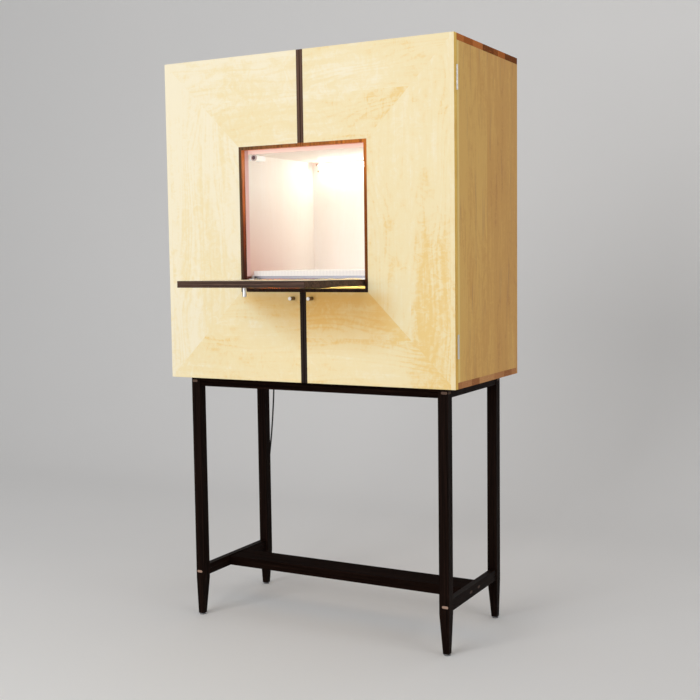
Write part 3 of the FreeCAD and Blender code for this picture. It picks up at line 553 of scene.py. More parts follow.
def side_veneer():
    """Maple of the cabinet's sides, golden partly by painted warm shade, redder towards the back, with a
    paler solid front edge.
    """
    shading = Shading("side_veneer")
    x, y, z = shading.split(shading.place)
    depth = y - front_y
    grain, own = staves(shading, y, x, z, SIDE_STAVE)
    tone, fibres = maple_figure(shading, grain, 0.7)
    tone = tone + own * SIDE_STAVE_TONE + (depth - SIDE_MIDDLE) * SIDE_DARKENING
    colour = shading.ramp(tone, GOLDEN_MAPLE_WARM_SHADE)
    colour = shading.mix((depth < SIDE_LIPPING_END) * 0.55, colour, SIDE_LIPPING)
    spots = flecks(shading, shading.combine(y, x, z)) * 0.55
    shading.set(Base_Color=shading.mix(spots, colour, FLECK_COLOUR))
    wood_finish(shading, fibres, 0.5)
    return shading.material


END_GRAIN = [
    (0.05, (0.56, 0.190, 0.054)),
    (0.45, (0.44, 0.132, 0.034)),
    (0.75, (0.34, 0.104, 0.028)),
    (0.95, (0.18, 0.056, 0.017)),
]
LOW_END_GRAIN = [(0.1, (0.60, 0.31, 0.13)), (0.5, (0.47, 0.205, 0.085)), (0.9, (0.33, 0.13, 0.052))]
STAVES_PER_METRE = 15.0
ARC_TONE = 0.55
DARK_REAR_START = 0.345
DARK_REAR_TONE = 0.38
LONG_GRAIN_SHINE = 0.22


def staved_board():
    """Solid staves along X of uneven width. Their end grain at the cabinet's sides is red-brown.

    The rear part of the top board's end grain is darker.
    """
    shading = Shading("staved_board")
    x, y, z = shading.split(shading.place)
    low = z < (cabinet_base + cabinet_top) / 2
    cuts = {"Scale": STAVES_PER_METRE, "W": y + low * 3.3}
    cells = shading.node("ShaderNodeTexVoronoi", cuts, voronoi_dimensions="1D")
    own = shading.split(cells.outputs["Color"])[0]
    tone, fibres = maple_figure(shading, shading.combine(y, z + own * 9.0, x), 0.8)
    long_grain = shading.ramp(tone + (own - 0.5) * 0.3, GOLDEN_MAPLE_WARM_SHADE)
    arcs = shading.noise(shading.place, (1.0, 110.0, 520.0))
    rear = (y > front_y + DARK_REAR_START) * (1.0 - low) * DARK_REAR_TONE
    end_tone = own + (arcs - 0.5) * ARC_TONE + rear
    end_grain = shading.mix(low, shading.ramp(end_tone, END_GRAIN), shading.ramp(end_tone, LOW_END_GRAIN))
    ends = shading.faces(0)
    shading.set(Base_Color=shading.mix(ends, long_grain, end_grain))
    wood_finish(shading, fibres, 0.5)
    shading.set(Specular_IOR_Level=(1.0 - ends) * LONG_GRAIN_SHINE)
    return shading.material


# ---- Dark wood and tenons ----
WENGE = (0.0092, 0.0044, 0.0031)
FLAP_LIPPING = (0.080, 0.044, 0.031)
PORE_RELIEF = 0.0005
WAXED_EDGE = 0.0008


def dark_tone(shading, along):
    """Tone of a dark wood with fine streaks and open pores, and its pores."""
    grain = turned_for_grain(shading, along)
    bands = shading.noise(grain, (170.0, 170.0, 2.6), detail=3.0, roughness=0.6)
    pores = shading.noise(grain, (900.0, 900.0, 30.0), roughness=0.6)
    return bands * 0.7 + pores * 0.3, pores


def dark_finish(shading, pores, roughness, shine=0.09):
    """A dull waxed surface with open pores."""
    shading.set(Roughness=shading.remap(pores, roughness - 0.06, roughness + 0.08))
    shading.set(Specular_IOR_Level=shine)
    shading.bump(pores, 0.25, PORE_RELIEF, WAXED_EDGE)


def dark_wood(name, along, base, roughness, shine=0.09):
    """Dark wood, such as wenge: fine lighter streaks on a dark brown, and open pores."""
    shading = Shading(name)
    tone, pores = dark_tone(shading, along)
    stops = [(0.38, scaled_colour(base, 0.4)), (0.52, base), (0.72, scaled_colour(base, 2.4))]
    shading.set(Base_Color=shading.ramp(tone, stops))
    dark_finish(shading, pores, roughness, shine)
    return shading.material


TENON_BEECH = [(0.2, (0.42, 0.275, 0.205)), (0.8, (0.31, 0.195, 0.150))]
TENON_SHADE = (0.040, 0.022, 0.017)
UPPER_TENONS = 0.5


def tenon_wood():
    """The loose tenons' end grain: pale below, and by painted shade browner under the cabinet and nearly
    black on the sides.
    """
    shading = Shading("tenon_beech")
    upper = shading.split(shading.place)[2] > UPPER_TENONS
    shade = shading.faces(0, 0.6) * 0.9 | upper * 0.7
    rings = shading.noise(shading.place, (260.0, 260.0, 900.0))
    shading.set(Base_Color=shading.mix(shade, shading.ramp(rings, TENON_BEECH), TENON_SHADE))
    shading.set(Roughness=0.6, Specular_IOR_Level=0.1)
    shading.bump(rings, 0.1, edge_radius=SMALL_EDGE)
    return shading.material


UPPER_LIPPING = (0.100, 0.052, 0.034)
# The lower length's dark colour is partly its wood and partly painted shade of the flap.
LOWER_LIPPING_AND_SHADE = (0.020, 0.011, 0.008)
# The opening's lippings carry painted light and shade: darker near the flap, lighter towards the lamp at
# the top, orange on the right, and painted amber glow on their inner faces.
LEFT_LIPPING_PAINTED_LIGHT = [(0.03, (0.026, 0.012, 0.008)), (0.14, (0.075, 0.037, 0.019)), (0.9, (0.130, 0.062, 0.024))]
RIGHT_LIPPING_PAINTED_LIGHT = [
    (0.03, (0.026, 0.012, 0.008)),
    (0.14, (0.170, 0.050, 0.006)),
    (0.55, (0.300, 0.068, 0.003)),
    (0.90, (0.560, 0.160, 0.018)),
]
REVEAL_PAINTED_GLOW = [
    (0.15, (0.080, 0.014, 0.003)),
    (0.40, (0.240, 0.038, 0.004)),
    (0.62, (0.560, 0.135, 0.020)),
    (0.90, (0.780, 0.250, 0.070)),
]
LIPPING_FIGURE = [(0.38, (0.55, 0.50, 0.46)), (0.52, (1.0, 1.0, 1.0)), (0.72, (1.45, 1.5, 1.55))]
# The lengths above and below the opening start this far from it.
LIPPING_SPARE = LIPPING_WIDTH * 0.1


def door_lipping():
    """Lengths of brown hardwood: redder around the opening and on its inner faces by painted lamp light,
    and darkest below it, partly by painted shade of the flap.
    """
    shading = Shading("door_lipping")
    x, _, z = shading.split(shading.place)
    tone, pores = dark_tone(shading, "Z")
    right = (x / (2 * opening_half) + 0.5).clamped()
    rise = ((z - opening_base) / opening_height).clamped()
    front = shading.mix(right, shading.ramp(rise, LEFT_LIPPING_PAINTED_LIGHT), shading.ramp(rise, RIGHT_LIPPING_PAINTED_LIGHT))
    # Painted amber glow on the inner faces.
    colour = shading.mix(shading.faces(1, 0.5), shading.ramp(rise, REVEAL_PAINTED_GLOW), front)
    colour = shading.mix(z > opening_top + LIPPING_SPARE, colour, UPPER_LIPPING)
    colour = shading.mix(z < opening_base - LIPPING_SPARE, colour, LOWER_LIPPING_AND_SHADE)
    figure = shading.ramp(tone, LIPPING_FIGURE)
    shading.set(Base_Color=shading.mix(1.0, colour, figure, "MULTIPLY"))
    dark_finish(shading, pores, 0.42)
    return shading.material


# ---- Metal, glass and plastic ----
TURNING = (1500.0, 1500.0, 1500.0)
BRUSHING = {"X": (8.0, 900.0, 900.0), "Z": (900.0, 900.0, 8.0)}
KNOB_TURNING = (1500.0, 8.0, 1500.0)
METAL_EDGE = 0.0004
MOULDED_GRAIN = 1400.0


def metal(name, base, roughness, brushed_along=None, brushing=0.08):
    """Metal with fine turning or brushing marks and slight tarnish."""
    shading = Shading(name)
    marks = shading.noise(shading.place, BRUSHING.get(brushed_along, TURNING), detail=3.0)
    tarnish = shading.remap(shading.noise(shading.place, 60.0, detail=3.0), 0.0, 0.6)
    shading.set(Base_Color=shading.mix(tarnish, base, scaled_colour(base, 0.78)), Metallic=1.0)
    shading.set(Roughness=shading.remap(marks, roughness - 0.06, roughness + 0.10))
    shading.bump(marks, brushing, edge_radius=METAL_EDGE)
    return shading.material


def knob_steel():
    """A door knob's polished side, darkened by a painted reflection, and its paler brushed end."""
    shading = Shading("knob_steel")
    marks = shading.noise(shading.place, KNOB_TURNING, detail=3.0)
    end = shading.faces(1, 0.6)
    pale = shading.mix(marks, (0.84, 0.81, 0.79), (0.74, 0.71, 0.69))
    # The side's dark colour is a painted reflection of a dark room.
    polished = shading.mix(marks, (0.20, 0.165, 0.145), (0.15, 0.125, 0.11))
    shading.set(Base_Color=shading.mix(end, polished, pale), Metallic=1.0)
    shading.set(Roughness=shading.remap(end, 0.14, 0.42))
    shading.bump(marks, 0.02, edge_radius=METAL_EDGE)
    return shading.material


def plastic(name, base, roughness, grain=0.10):
    """Moulded plastic with a fine spark-eroded grain."""
    shading = Shading(name)
    dimples = shading.noise(shading.place, MOULDED_GRAIN)
    clouds = shading.remap(shading.noise(shading.place, 35.0), 0.0, 0.5)
    shading.set(Base_Color=shading.mix(clouds, base, scaled_colour(base, 0.82)))
    shading.set(Roughness=shading.remap(dimples, roughness - 0.05, roughness + 0.08))
    shading.bump(dimples, grain, edge_radius=SMALL_EDGE)
    return shading.material


WARM_WHITE = (0.97, 1.0, 0.955)
LATCH_PAINTED_LIGHT = (1.0, 0.98, 0.93)
FLOOR_GLOW = (1.0, 0.94, 0.90)
AMBER = (1.0, 0.74, 0.19)
HOUSING_GLOW = 0.9
FLOOR_DOT_PITCH = 0.0115
# Between the chips of the floor's LED strip, in millimetres.
CHIP_PITCH = 16.7


def glowing(name, base, glow, strength, dot_pitch=0.0, dot_share=0.0, top_share=1.0):
    """An opal cover lit from behind, with a brighter dot over each lamp if a pitch is given.

    A top share under 1 is for a strip that shines backwards, and upwards by that share.
    The latch moulding takes it too, though it is no lamp: there its glow is painted light.
    """
    shading = Shading(name)
    haze = shading.noise(shading.place, 220.0)
    shading.set(Base_Color=shading.mix(haze, base, scaled_colour(base, 0.94)), Roughness=0.35)
    shading.set(Emission_Color=glow, Emission_Strength=strength)
    if dot_pitch:
        wave = shading.math("COSINE", shading.split(shading.place)[0] * (FULL_TURN / dot_pitch))
        power = wave * dot_share + (1 - dot_share)
        if top_share < 1:
            _, back, up = shading.split(shading.normal)
            power = power * ((back > 0.5) | (up > 0.5) * top_share)
        shading.set(Emission_Color=shading.mix(power, BLACK, glow))
    shading.bump(haze, 0.05)
    return shading.material


def lamp_housing():
    """White painted aluminium with end caps that the lamp shines through."""
    shading = Shading("painted_aluminium")
    grain = shading.noise(shading.place, (9.0, 700.0, 700.0))
    shading.set(Base_Color=shading.mix(grain, (0.84, 0.82, 0.79), (0.78, 0.76, 0.73)), Roughness=0.4)
    shading.set(Emission_Color=WARM_WHITE, Emission_Strength=shading.faces(0) * HOUSING_GLOW)
    shading.bump(grain, 0.05, edge_radius=METAL_EDGE)
    return shading.material


MAGNET_RADIUS = 0.0062


def plunger_moulding():
    """Pale grey plastic with a dark magnet let into the tip."""
    shading = Shading("plunger_moulding")
    low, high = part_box("push_latch_plunger")
    x, _, z = shading.split(shading.place)
    across = x - (low[0] + high[0]) / 2
    up = z - (low[2] + high[2]) / 2
    magnet = across * across + up * up < MAGNET_RADIUS**2
    dimples = shading.noise(shading.place, MOULDED_GRAIN)
    pale = shading.mix(dimples, (0.60, 0.52, 0.49), (0.48, 0.41, 0.39))
    dark = shading.mix(dimples, (0.050, 0.016, 0.023), (0.090, 0.034, 0.046))
    shading.set(Base_Color=shading.mix(magnet, pale, dark), Roughness=shading.remap(dimples, 0.35, 0.5))
    shading.bump(dimples, 0.1, edge_radius=SMALL_EDGE)
    return shading.material


# ---- Every material, and the nodes that take it ----
def make_materials():
    """Every material, by name."""
    return {
        "door": door_veneer(),
        "side": side_veneer(),
        "staves": staved_board(),
        "inside_x": maple("inside_maple_level", "X", INSIDE_MAPLE, stave_width=0.15, curl=0.9),
        "lining_x": bar_lining("bar_lining_level", "X"),
        "lining_y": bar_lining("bar_lining_deep", "Y"),
        "lining_z": bar_lining("bar_lining_upright", "Z"),
        "back": maple("back_board", "Z", GOLDEN_MAPLE_WARM_SHADE, 0.20, curl=0.9, roughness=0.55, fleck=0.4),
        "flap": maple("flap_veneer", "X", FLAP_MAPLE, stave_width=0.14, curl=1.3),
        "dark_z": dark_wood("wenge_upright", "Z", WENGE, roughness=0.46, shine=0.02),
        "dark_x": dark_wood("wenge_level", "X", WENGE, roughness=0.75, shine=0.01),
        "dark_y": dark_wood("wenge_deep", "Y", WENGE, roughness=0.46, shine=0.02),
        "lipping": door_lipping(),
        "lipping_flap": dark_wood("flap_lipping_wood", "X", FLAP_LIPPING, roughness=0.42),
        "tenon": tenon_wood(),
        "knob": knob_steel(),
        "steel": metal("turned_steel", (0.78, 0.77, 0.76), 0.30, brushing=0.01),
        "zinc": metal("plated_hinge", (0.78, 0.76, 0.72), 0.34, brushed_along="Z"),
        "screw": metal("bronzed_screw", (0.66, 0.52, 0.38), 0.45),
        "lamp_housing": lamp_housing(),
        "aluminium": metal("anodised_aluminium", (0.34, 0.345, 0.40), 0.38, brushed_along="X"),
        "brass": metal("turned_brass", (0.72, 0.53, 0.24), 0.30),
        "glass": glowing("opal_glass", (0.75, 0.73, 0.715), FLOOR_GLOW, 0.17, FLOOR_DOT_PITCH, 0.12),
        "cover": glowing("opal_cover", (0.92, 0.91, 0.88), WARM_WHITE, 14.5),
        "tape": glowing("led_tape", (0.90, 0.85, 0.70), AMBER, 800.0, CHIP_PITCH * MM, 0.3, 0.05),
        "phosphor": plastic("lamp_phosphor", (0.90, 0.66, 0.12), 0.4),
        "white": plastic("white_moulding", (0.80, 0.80, 0.78), 0.42),
        # The latch is no lamp: its glow is painted light.
        "latch": glowing("latch_moulding", (0.95, 0.95, 0.94), LATCH_PAINTED_LIGHT, 0.20),
        "black": plastic("black_moulding", (0.018, 0.018, 0.019), 0.45),
        "plunger": plunger_moulding(),
        "foot": plastic("glide_plastic", (0.16, 0.16, 0.165), 0.5),
        "cord": plastic("cord_sheath", (0.014, 0.014, 0.015), 0.46, grain=0.05),
        "tie": plastic("tie_strap", (0.030, 0.030, 0.032), 0.6),
    }


NODE_MATERIALS = {
    "door": ["left_door_panel", "right_door_panel"],
    "side": ["left_side_panel", "right_side_panel"],
    "staves": ["top_board", "bottom_board"],
    "inside_x": ["lower_shelf", "upper_shelf", "bay_shelves"],
    "lining_x": ["bar_ceiling"],
    "lining_y": ["floor_bearers"],
    "lining_z": ["bar_left_wall", "bar_right_wall", "bar_back_wall"],
    "back": ["back_panel"],
    "flap": ["flap_panel"],
    "dark_z": ["front_left_leg", "front_right_leg", "back_left_leg", "back_right_leg"],
    "dark_x": ["front_rail", "back_rail", "long_stretcher"],
    "dark_y": ["side_rails", "side_stretchers"],
    "lipping": ["left_door_lipping", "right_door_lipping"],
    "lipping_flap": ["flap_lipping"],
    "tenon": ["exposed_tenons"],
    "knob": ["left_door_knob", "right_door_knob"],
    "steel": ["flap_knob", "flap_lugs", "flap_strike_plate", "shelf_pins", "hinge_pins"]
    + ["carcass_hinge_screws", "left_door_fixings", "right_door_fixings", "stand_screws"],
    "zinc": ["carcass_hinge_leaves", "left_door_hinge_leaves", "right_door_hinge_leaves"],
    "aluminium": ["floor_front_profile"],
    "lamp_housing": ["led_bar_housing"],
    "brass": ["flap_pivot_bushes"],
    "glass": ["bar_floor_glass"],
    "cover": ["led_bar_diffuser"],
    "tape": ["floor_led_strip"],
    "latch": ["push_latch_housing"],
    "black": ["flap_stops"],
    "plunger": ["push_latch_plunger"],
    "foot": ["foot_glides"],
    "cord": ["inner_leads"],
}


def dress_nodes(materials):
    """Give every CAD node that is kept its material."""
    for name, nodes in NODE_MATERIALS.items():
        for node in nodes:
            piece = bpy.data.objects[node]
            piece.data.materials.clear()
            piece.data.materials.append(materials[name])


# ---- Mesh helpers ----
SMOOTH_ANGLE = 38.0
OUTLINE_POINTS = 32
# A screw head from its rim to its socket: height in millimetres and share of its radius.
SCREW_PROFILE = [(-0.5, 1.0), (0.25, 1.0), (0.7, 0.82), (0.9, 0.5), (0.9, 0.42), (0.3, 0.34)]


def new_piece(name, mesh, material, body):
    """An object made from a bmesh, which rides a body and takes a material."""
    bmesh.ops.recalc_face_normals(mesh, faces=mesh.faces)
    data = bpy.data.meshes.new(name)
    mesh.to_mesh(data)
    mesh.free()
    data.shade_smooth()
    data.set_sharp_from_angle(angle=math.radians(SMOOTH_ANGLE))
    data.materials.append(material)
    piece = new_object(name, data)
    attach(piece, body)
    return piece


def skin(mesh, rings, closed=False):
    """Faces between rings of points, either closed in a loop or with a face over each end."""
    next_rings = rings[1:] + rings[:1] if closed else rings[1:]
    for low, high in zip(rings, next_rings):
        for index in range(len(low)):
            following = (index + 1) % len(low)
            mesh.faces.new((low[index], low[following], high[following], high[index]))
    if not closed:
        mesh.faces.new(rings[0][::-1])
        mesh.faces.new(rings[-1])


def turned(mesh, profile, place, direction, segments=32):
    """A turned solid from pairs of millimetres: how far it is along the axis, and the radius."""
    turn = Vector((0, 0, 1)).rotation_difference(Vector(direction)).to_matrix()
    rings = []
    for along, radius in profile:
        ring = []
        for index in range(segments):
            angle = FULL_TURN * index / segments
            local = Vector((radius * math.cos(angle), radius * math.sin(angle), along)) * MM
            ring.append(mesh.verts.new(place + turn @ local))
        rings.append(ring)
    skin(mesh, rings)


def rounded_block(mesh, low, high, radius):
    """A box between two corners with rounded edges; its points are given back."""
    low, high = Vector(low), Vector(high)
    size = Matrix.Diagonal((*(high - low), 1.0))
    made = bmesh.ops.create_cube(mesh, size=1.0, matrix=Matrix.Translation((low + high) / 2) @ size)
    edges = {edge for corner in made["verts"] for edge in corner.link_edges}
    rounded = bmesh.ops.bevel(
        mesh, geom=list(edges), offset=radius * MM, segments=2, profile=0.5, affect="EDGES"
    )
    return list({corner for face in rounded["faces"] for corner in face.verts})


def screw_head(mesh, place, outward, radius):
    """A low domed screw head with a round socket."""
    turned(mesh, [(height, share * radius) for height, share in SCREW_PROFILE], place, outward, 24)


def superellipse(half_width, half_height, power):
    """Points of a rounded rectangle. A higher power gives tighter corners."""
    points = []
    for index in range(OUTLINE_POINTS):
        angle = FULL_TURN * index / OUTLINE_POINTS
        across = abs(math.cos(angle)) ** (2 / power) * math.copysign(half_width, math.cos(angle))
        up = abs(math.sin(angle)) ** (2 / power) * math.copysign(half_height, math.sin(angle))
        points.append((across, up))
    return points


# ---- Pieces on the cord, in millimetres ----
RELIEF_LENGTH = 30.0
RELIEF_RIBS = 7
RELIEF_RIB_SHARE = 0.6
RELIEF_GROOVE = 0.9
RELIEF_RADII = (4.0, 6.0)
RELIEF_FLANGE_RADIUS = 9.0
RELIEF_FLANGE = 2.0
BOARD = 19.0
GLAND_NUT = 4.0
RIB_EASING = (0.4, 0.3)
FLANGE_EASING = 0.6
NUT_EASING = 0.5


def strain_relief(material):
    """The cord's ribbed, tapered strain relief with its flange, and its nut inside the cabinet."""
    mesh = bmesh.new()
    small, large = RELIEF_RADII
    pitch = RELIEF_LENGTH / RELIEF_RIBS
    eased_along, eased_in = RIB_EASING
    profile = []
    for index in range(RELIEF_RIBS):
        low = index * pitch
        radius = small + (large - small) * low / RELIEF_LENGTH
        rib_end = low + pitch * RELIEF_RIB_SHARE
        core = radius - RELIEF_GROOVE
        profile += [(low, radius - eased_in), (low + eased_along, radius), (rib_end, radius)]
        profile += [(rib_end, core), (low + pitch, core)]
    flange = RELIEF_LENGTH + RELIEF_FLANGE
    rim = RELIEF_FLANGE_RADIUS
    profile += [(RELIEF_LENGTH, rim - FLANGE_EASING), (RELIEF_LENGTH + FLANGE_EASING, rim)]
    profile += [(flange, rim), (flange, large), (flange + BOARD, large)]
    foot = at(*CORD_ROUTE[0])
    turned(mesh, profile, foot, (0, 0, 1))
    nut = [(0, rim - NUT_EASING), (NUT_EASING, rim), (GLAND_NUT - NUT_EASING, rim)]
    nut.append((GLAND_NUT, rim - NUT_EASING))
    turned(mesh, nut, foot + Vector((0, 0, (flange + BOARD) * MM)), (0, 0, 1), 6)
    piece = new_piece("cord_strain_relief", mesh, material, "cabinet")
    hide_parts("cord_gland")
    return piece


# The plug's sections: distance from the cord's end, half width and half height.
PLUG_SECTIONS = [
    (0.0, 3.6, 3.6),
    (5.0, 4.2, 4.2),
    (6.5, 6.5, 5.2),
    (12.0, 11.0, 6.4),
    (20.0, 13.0, 7.0),
    (30.0, 13.0, 7.0),
    (35.0, 12.4, 6.4),
    (36.0, 11.4, 5.6),
]
PLUG_ROUNDNESS = 3.0
PIN_SPREAD = 9.3
PIN_ROOT = 1.0
# The pin's sleeve and its bare tip: radius, radius at the end, and length of the easing there.
PIN_SLEEVE = 10.0
PIN_SLEEVE_END = (2.0, 1.8, 0.3)
PIN_LENGTH = 19.0
PIN_TIP_END = (1.85, 0.9, 1.2)


def pin_profile(start, end, radius, end_radius, easing):
    """A length of a plug's pin with an eased end."""
    return [(start, radius), (end - easing, radius), (end, end_radius)]


def moulded_plug(sheath, metal_pins):
    """The flat two-pin plug with sleeved pins."""
    x, depth, z = TAIL[-1]
    mesh = bmesh.new()
    rings = []
    for along, half_width, half_height in PLUG_SECTIONS:
        outline = superellipse(half_width, half_height, PLUG_ROUNDNESS)
        rings.append([mesh.verts.new(at(x + along, depth + across, z + up)) for across, up in outline])
    skin(mesh, rings)
    pins = bmesh.new()
    face = x + PLUG_SECTIONS[-1][0]
    sleeve = pin_profile(-PIN_ROOT, PIN_SLEEVE, *PIN_SLEEVE_END)
    tip = pin_profile(PIN_SLEEVE - PIN_ROOT, PIN_LENGTH, *PIN_TIP_END)
    for side in (-1, 1):
        root = at(face, depth + side * PIN_SPREAD, z)
        turned(mesh, sleeve, root, (1, 0, 0), 20)
        turned(pins, tip, root, (1, 0, 0), 20)
    plug = new_piece("moulded_plug", mesh, sheath, "cabinet")
    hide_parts("mains_plug")
    return [plug, new_piece("plug_pin_tips", pins, metal_pins, "cabinet")]


TIE_ANGLE = -60.0
TIE_WIDTH = 5.0
TIE_THICKNESS = 0.9
TIE_HALF_WIDTH = 6.6
TIE_HALF_HEIGHT = 8.2
TIE_ROUNDNESS = 5.0
BUCKLE = Vector((4.5, 7.5, 5.0)) * MM
BUCKLE_ROUNDING = 0.9
BUCKLE_REACH = 2.0


def cord_tie(material):
    """The strap that holds the wound-up turns together, with its buckle."""
    angle = math.radians(TIE_ANGLE)
    outward = Vector((math.cos(angle), math.sin(angle), 0.0))
    along = Vector((-math.sin(angle), math.cos(angle), 0.0)) * TIE_WIDTH * MM / 2
    centre = at(COIL_X, COIL_DEPTH, TIE_HALF_HEIGHT + TIE_THICKNESS) + outward * COIL_RADIUS * MM
    mesh = bmesh.new()
    rings = []
    inner = superellipse(TIE_HALF_WIDTH, TIE_HALF_HEIGHT, TIE_ROUNDNESS)
    outer = superellipse(TIE_HALF_WIDTH + TIE_THICKNESS, TIE_HALF_HEIGHT + TIE_THICKNESS, TIE_ROUNDNESS)
    for (near, low), (far, high) in zip(inner, outer):
        inside = centre + outward * near * MM + Vector((0, 0, low * MM))
        outside = centre + outward * far * MM + Vector((0, 0, high * MM))
        corners = (inside - along, outside - along, outside + along, inside + along)
        rings.append([mesh.verts.new(corner) for corner in corners])
    skin(mesh, rings, closed=True)
    buckle = rounded_block(mesh, -BUCKLE / 2, BUCKLE / 2, BUCKLE_ROUNDING)
    place = Matrix.Translation(centre + outward * (TIE_HALF_WIDTH + BUCKLE_REACH) * MM)
    bmesh.ops.transform(mesh, matrix=place @ Matrix.Rotation(angle, 4, "Z"), verts=buckle)
    return new_piece("cord_tie", mesh, material, "cabinet")


# ---- Small fittings, in millimetres ----
CHIP_SIZE = 5.0
CHIP_HEIGHT = 1.2
CHIP_SUNK = 0.2
CHIP_ROUNDING = 0.3
CHIP_COUNT = 22


def lamp_chips(material):
    """The lamp chips along the floor's LED strip."""
    low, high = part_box("floor_led_strip")
    middle_y = (low[1] + high[1]) / 2
    half = CHIP_SIZE * MM / 2
    mesh = bmesh.new()
    for index in range(CHIP_COUNT):
        x = (index - (CHIP_COUNT - 1) / 2) * CHIP_PITCH * MM
        corner = (x - half, middle_y - half, high[2] - CHIP_SUNK * MM)
        rounded_block(mesh, corner, (x + half, middle_y + half, high[2] + CHIP_HEIGHT * MM), CHIP_ROUNDING)
    return new_piece("floor_lamp_chips", mesh, material, "cabinet")


LUG_SCREWS = [(196.0, 28.0, 1117.2), (196.0, 43.0, 1117.0)]
LUG_SCREW_RADIUS = 3.2
BACK_SCREWS = [(-198.0, 1497.0), (-192.0, 1475.0)]
BACK_SCREW_RADIUS = 3.5


def fitting_screws(material):
    """The screws on the flap's lugs, and two on the bar's back wall beside the lamp."""
    lugs = bmesh.new()
    for side in (-1, 1):
        for x, depth, z in LUG_SCREWS:
            screw_head(lugs, at(side * x, depth, z), (0, 0, 1), LUG_SCREW_RADIUS)
    new_piece("flap_lug_screws", lugs, material, "flap")
    wall = bmesh.new()
    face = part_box("bar_back_wall")[0][1]
    for x, z in BACK_SCREWS:
        screw_head(wall, Vector((x * MM, face, z * MM)), (0, -1, 0), BACK_SCREW_RADIUS)
    new_piece("bar_back_screws", wall, material, "cabinet")


CATCH_SPAN = (12.0, 48.0)
CATCH_HEIGHT = 14.0
CATCH_SETBACK = 0.6
CATCH_ROUNDING = 1.2
POLE_WIDTH = 24.0
POLE_THICKNESS = 1.4
POLE_SPREAD = 3.2
POLE_BACK_GAP = 3.0
POLE_ROUNDING = 0.2


def catches(plastic_case, steel):
    """Four magnetic catches: a case with two steel poles that meet the door's strike plate."""
    low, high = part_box("door_catches")
    cases, poles = bmesh.new(), bmesh.new()
    half_pole = POLE_WIDTH * MM / 2
    half_thickness = POLE_THICKNESS * MM / 2
    for side in (-1, 1):
        left, right = sorted(side * end * MM for end in CATCH_SPAN)
        middle_x = (left + right) / 2
        for base in (low[2], high[2] - CATCH_HEIGHT * MM):
            corner = (left, low[1] + CATCH_SETBACK * MM, base)
            rounded_block(cases, corner, (right, high[1], base + CATCH_HEIGHT * MM), CATCH_ROUNDING)
            for step in (-1, 1):
                z = base + (CATCH_HEIGHT / 2 + step * POLE_SPREAD) * MM
                corner = (middle_x - half_pole, low[1], z - half_thickness)
                far_corner = (middle_x + half_pole, high[1] - POLE_BACK_GAP * MM, z + half_thickness)
                rounded_block(poles, corner, far_corner, POLE_ROUNDING)
    piece = new_piece("catch_cases", cases, plastic_case, "cabinet")
    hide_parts("door_catches")
    new_piece("catch_poles", poles, steel, "cabinet")


COVER_LENGTH = 18.0
COVER_OVERLAP = 3.6
COVER_ROUNDING = 1.6
CASE_INSET = 1.2
CASE_ROUNDING = 1.0
COVER_SCREW_RADIUS = 2.6


def driver_case(material, steel):
    """The LED driver: a case with a cover over the terminals at each end, and its screws."""
    low, high = (Vector(corner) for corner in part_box("led_driver"))
    cover = Vector((COVER_LENGTH, 0.0, 0.0)) * MM
    bare = COVER_LENGTH - COVER_OVERLAP
    start = low + Vector((bare, CASE_INSET, CASE_INSET)) * MM
    end = high - Vector((bare, 0.0, CASE_INSET)) * MM
    mesh = bmesh.new()
    rounded_block(mesh, start, end, CASE_ROUNDING)
    rounded_block(mesh, low, Vector((low.x, high.y, high.z)) + cover, COVER_ROUNDING)
    rounded_block(mesh, Vector((high.x, low.y, low.z)) - cover, high, COVER_ROUNDING)
    case = new_piece("led_driver_case", mesh, material, "cabinet")
    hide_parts("led_driver")
    screws = bmesh.new()
    for x in (low.x + cover.x / 2, high.x - cover.x / 2):
        screw_head(screws, Vector((x, low.y, (low.z + high.z) / 2)), (0, -1, 0), COVER_SCREW_RADIUS)
    new_piece("led_driver_screws", screws, steel, "cabinet")


# ---- Stage, light and world, in metres ----
FLOOR_COLOUR = (0.88, 0.875, 0.87)
STAGE_WIDTH = 14.0
STAGE_FRONT = -9.0
STAGE_BACK = 3.2
STAGE_BEND = 1.6
STAGE_BEND_STEPS = 24
STAGE_HEIGHT = 7.0


def see_through_from_behind(shading):
    """Let a camera behind the sheet see through it."""
    behind = shading.node("ShaderNodeNewGeometry", {}).outputs["Backfacing"]
    clear = shading.node("ShaderNodeBsdfTransparent", {}).outputs[0]
    either = shading.node("ShaderNodeMixShader", {0: behind, 1: shading.shader.outputs[0], 2: clear})
    shading.node("ShaderNodeOutputMaterial", {"Surface": either.outputs[0]}, is_active_output=True)


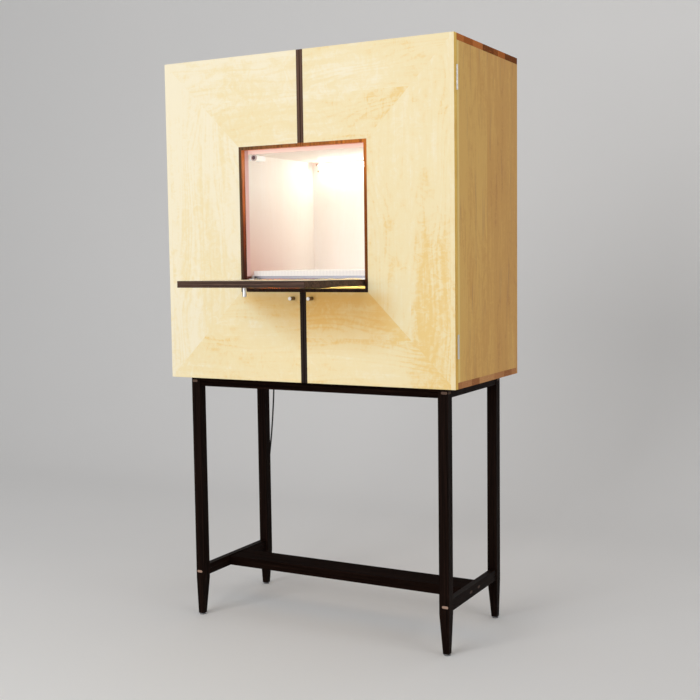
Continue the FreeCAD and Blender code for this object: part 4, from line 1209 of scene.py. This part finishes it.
def add_stage():
    """A pale floor that curves up into a backdrop."""
    profile = [(STAGE_FRONT, 0.0)]
    for step in range(STAGE_BEND_STEPS + 1):
        angle = math.pi / 2 * step / STAGE_BEND_STEPS
        y = STAGE_BACK - STAGE_BEND + STAGE_BEND * math.sin(angle)
        profile.append((y, STAGE_BEND - STAGE_BEND * math.cos(angle)))
    profile.append((STAGE_BACK, STAGE_HEIGHT))
    mesh = bmesh.new()
    rows = [[mesh.verts.new((side * STAGE_WIDTH / 2, y, z)) for side in (-1, 1)] for y, z in profile]
    for low, high in zip(rows, rows[1:]):
        face = mesh.faces.new((low[0], low[1], high[1], high[0]))
        face.smooth = True
    data = bpy.data.meshes.new("stage")
    mesh.to_mesh(data)
    mesh.free()
    stage = new_object("stage", data)
    shading = Shading("stage_paint")
    mottle = shading.noise(shading.place, 1.2)
    shading.set(Base_Color=shading.mix(mottle, FLOOR_COLOUR, scaled_colour(FLOOR_COLOUR, 0.97)))
    shading.set(Roughness=0.9, Specular_IOR_Level=0.2)
    see_through_from_behind(shading)
    data.materials.append(shading.material)


LIGHT_TARGET = Vector((0.0, front_y, 1.2))
# Each lamp: its place, width, height and power.
LAMPS = {
    "key": ((-0.9, -4.7, 2.3), 3.4, 2.8, 136.0),
    "fill": ((4.6, -1.0, 2.4), 2.6, 2.6, 34.0),
}
WORLD_STRENGTH = 0.38


def add_light():
    """Plain soft light: a large lamp before the doors, a weaker one at the side, and an even world."""
    for name, (place, width, height, power) in LAMPS.items():
        data = bpy.data.lights.new(name, "AREA")
        data.shape = "RECTANGLE"
        data.size = width
        data.size_y = height
        data.energy = power
        aim = (LIGHT_TARGET - Vector(place)).to_track_quat("-Z", "Y")
        new_object(name, data).matrix_world = Matrix.Translation(place) @ aim.to_matrix().to_4x4()
    world = bpy.data.worlds.new("world")
    world.use_nodes = True
    background = world.node_tree.nodes["Background"]
    background.inputs["Color"].default_value = (1.0, 1.0, 1.0, 1.0)
    background.inputs["Strength"].default_value = WORLD_STRENGTH
    bpy.context.scene.world = world
    bpy.context.scene.view_settings.view_transform = "Standard"


# ---- The scene ----
add_camera()
materials = make_materials()
cord = add_cord(materials["cord"])
tuple(at(*CORD_ROUTE[0]))
([strain_relief(materials["cord"]), *moulded_plug(materials["cord"], materials["steel"])]
    + [cord_tie(materials["tie"])])
dress_nodes(materials)
lamp_chips(materials["phosphor"])
fitting_screws(materials["screw"])
catches(materials["white"], materials["zinc"])
driver_case(materials["white"], materials["zinc"])
add_stage()
add_light()
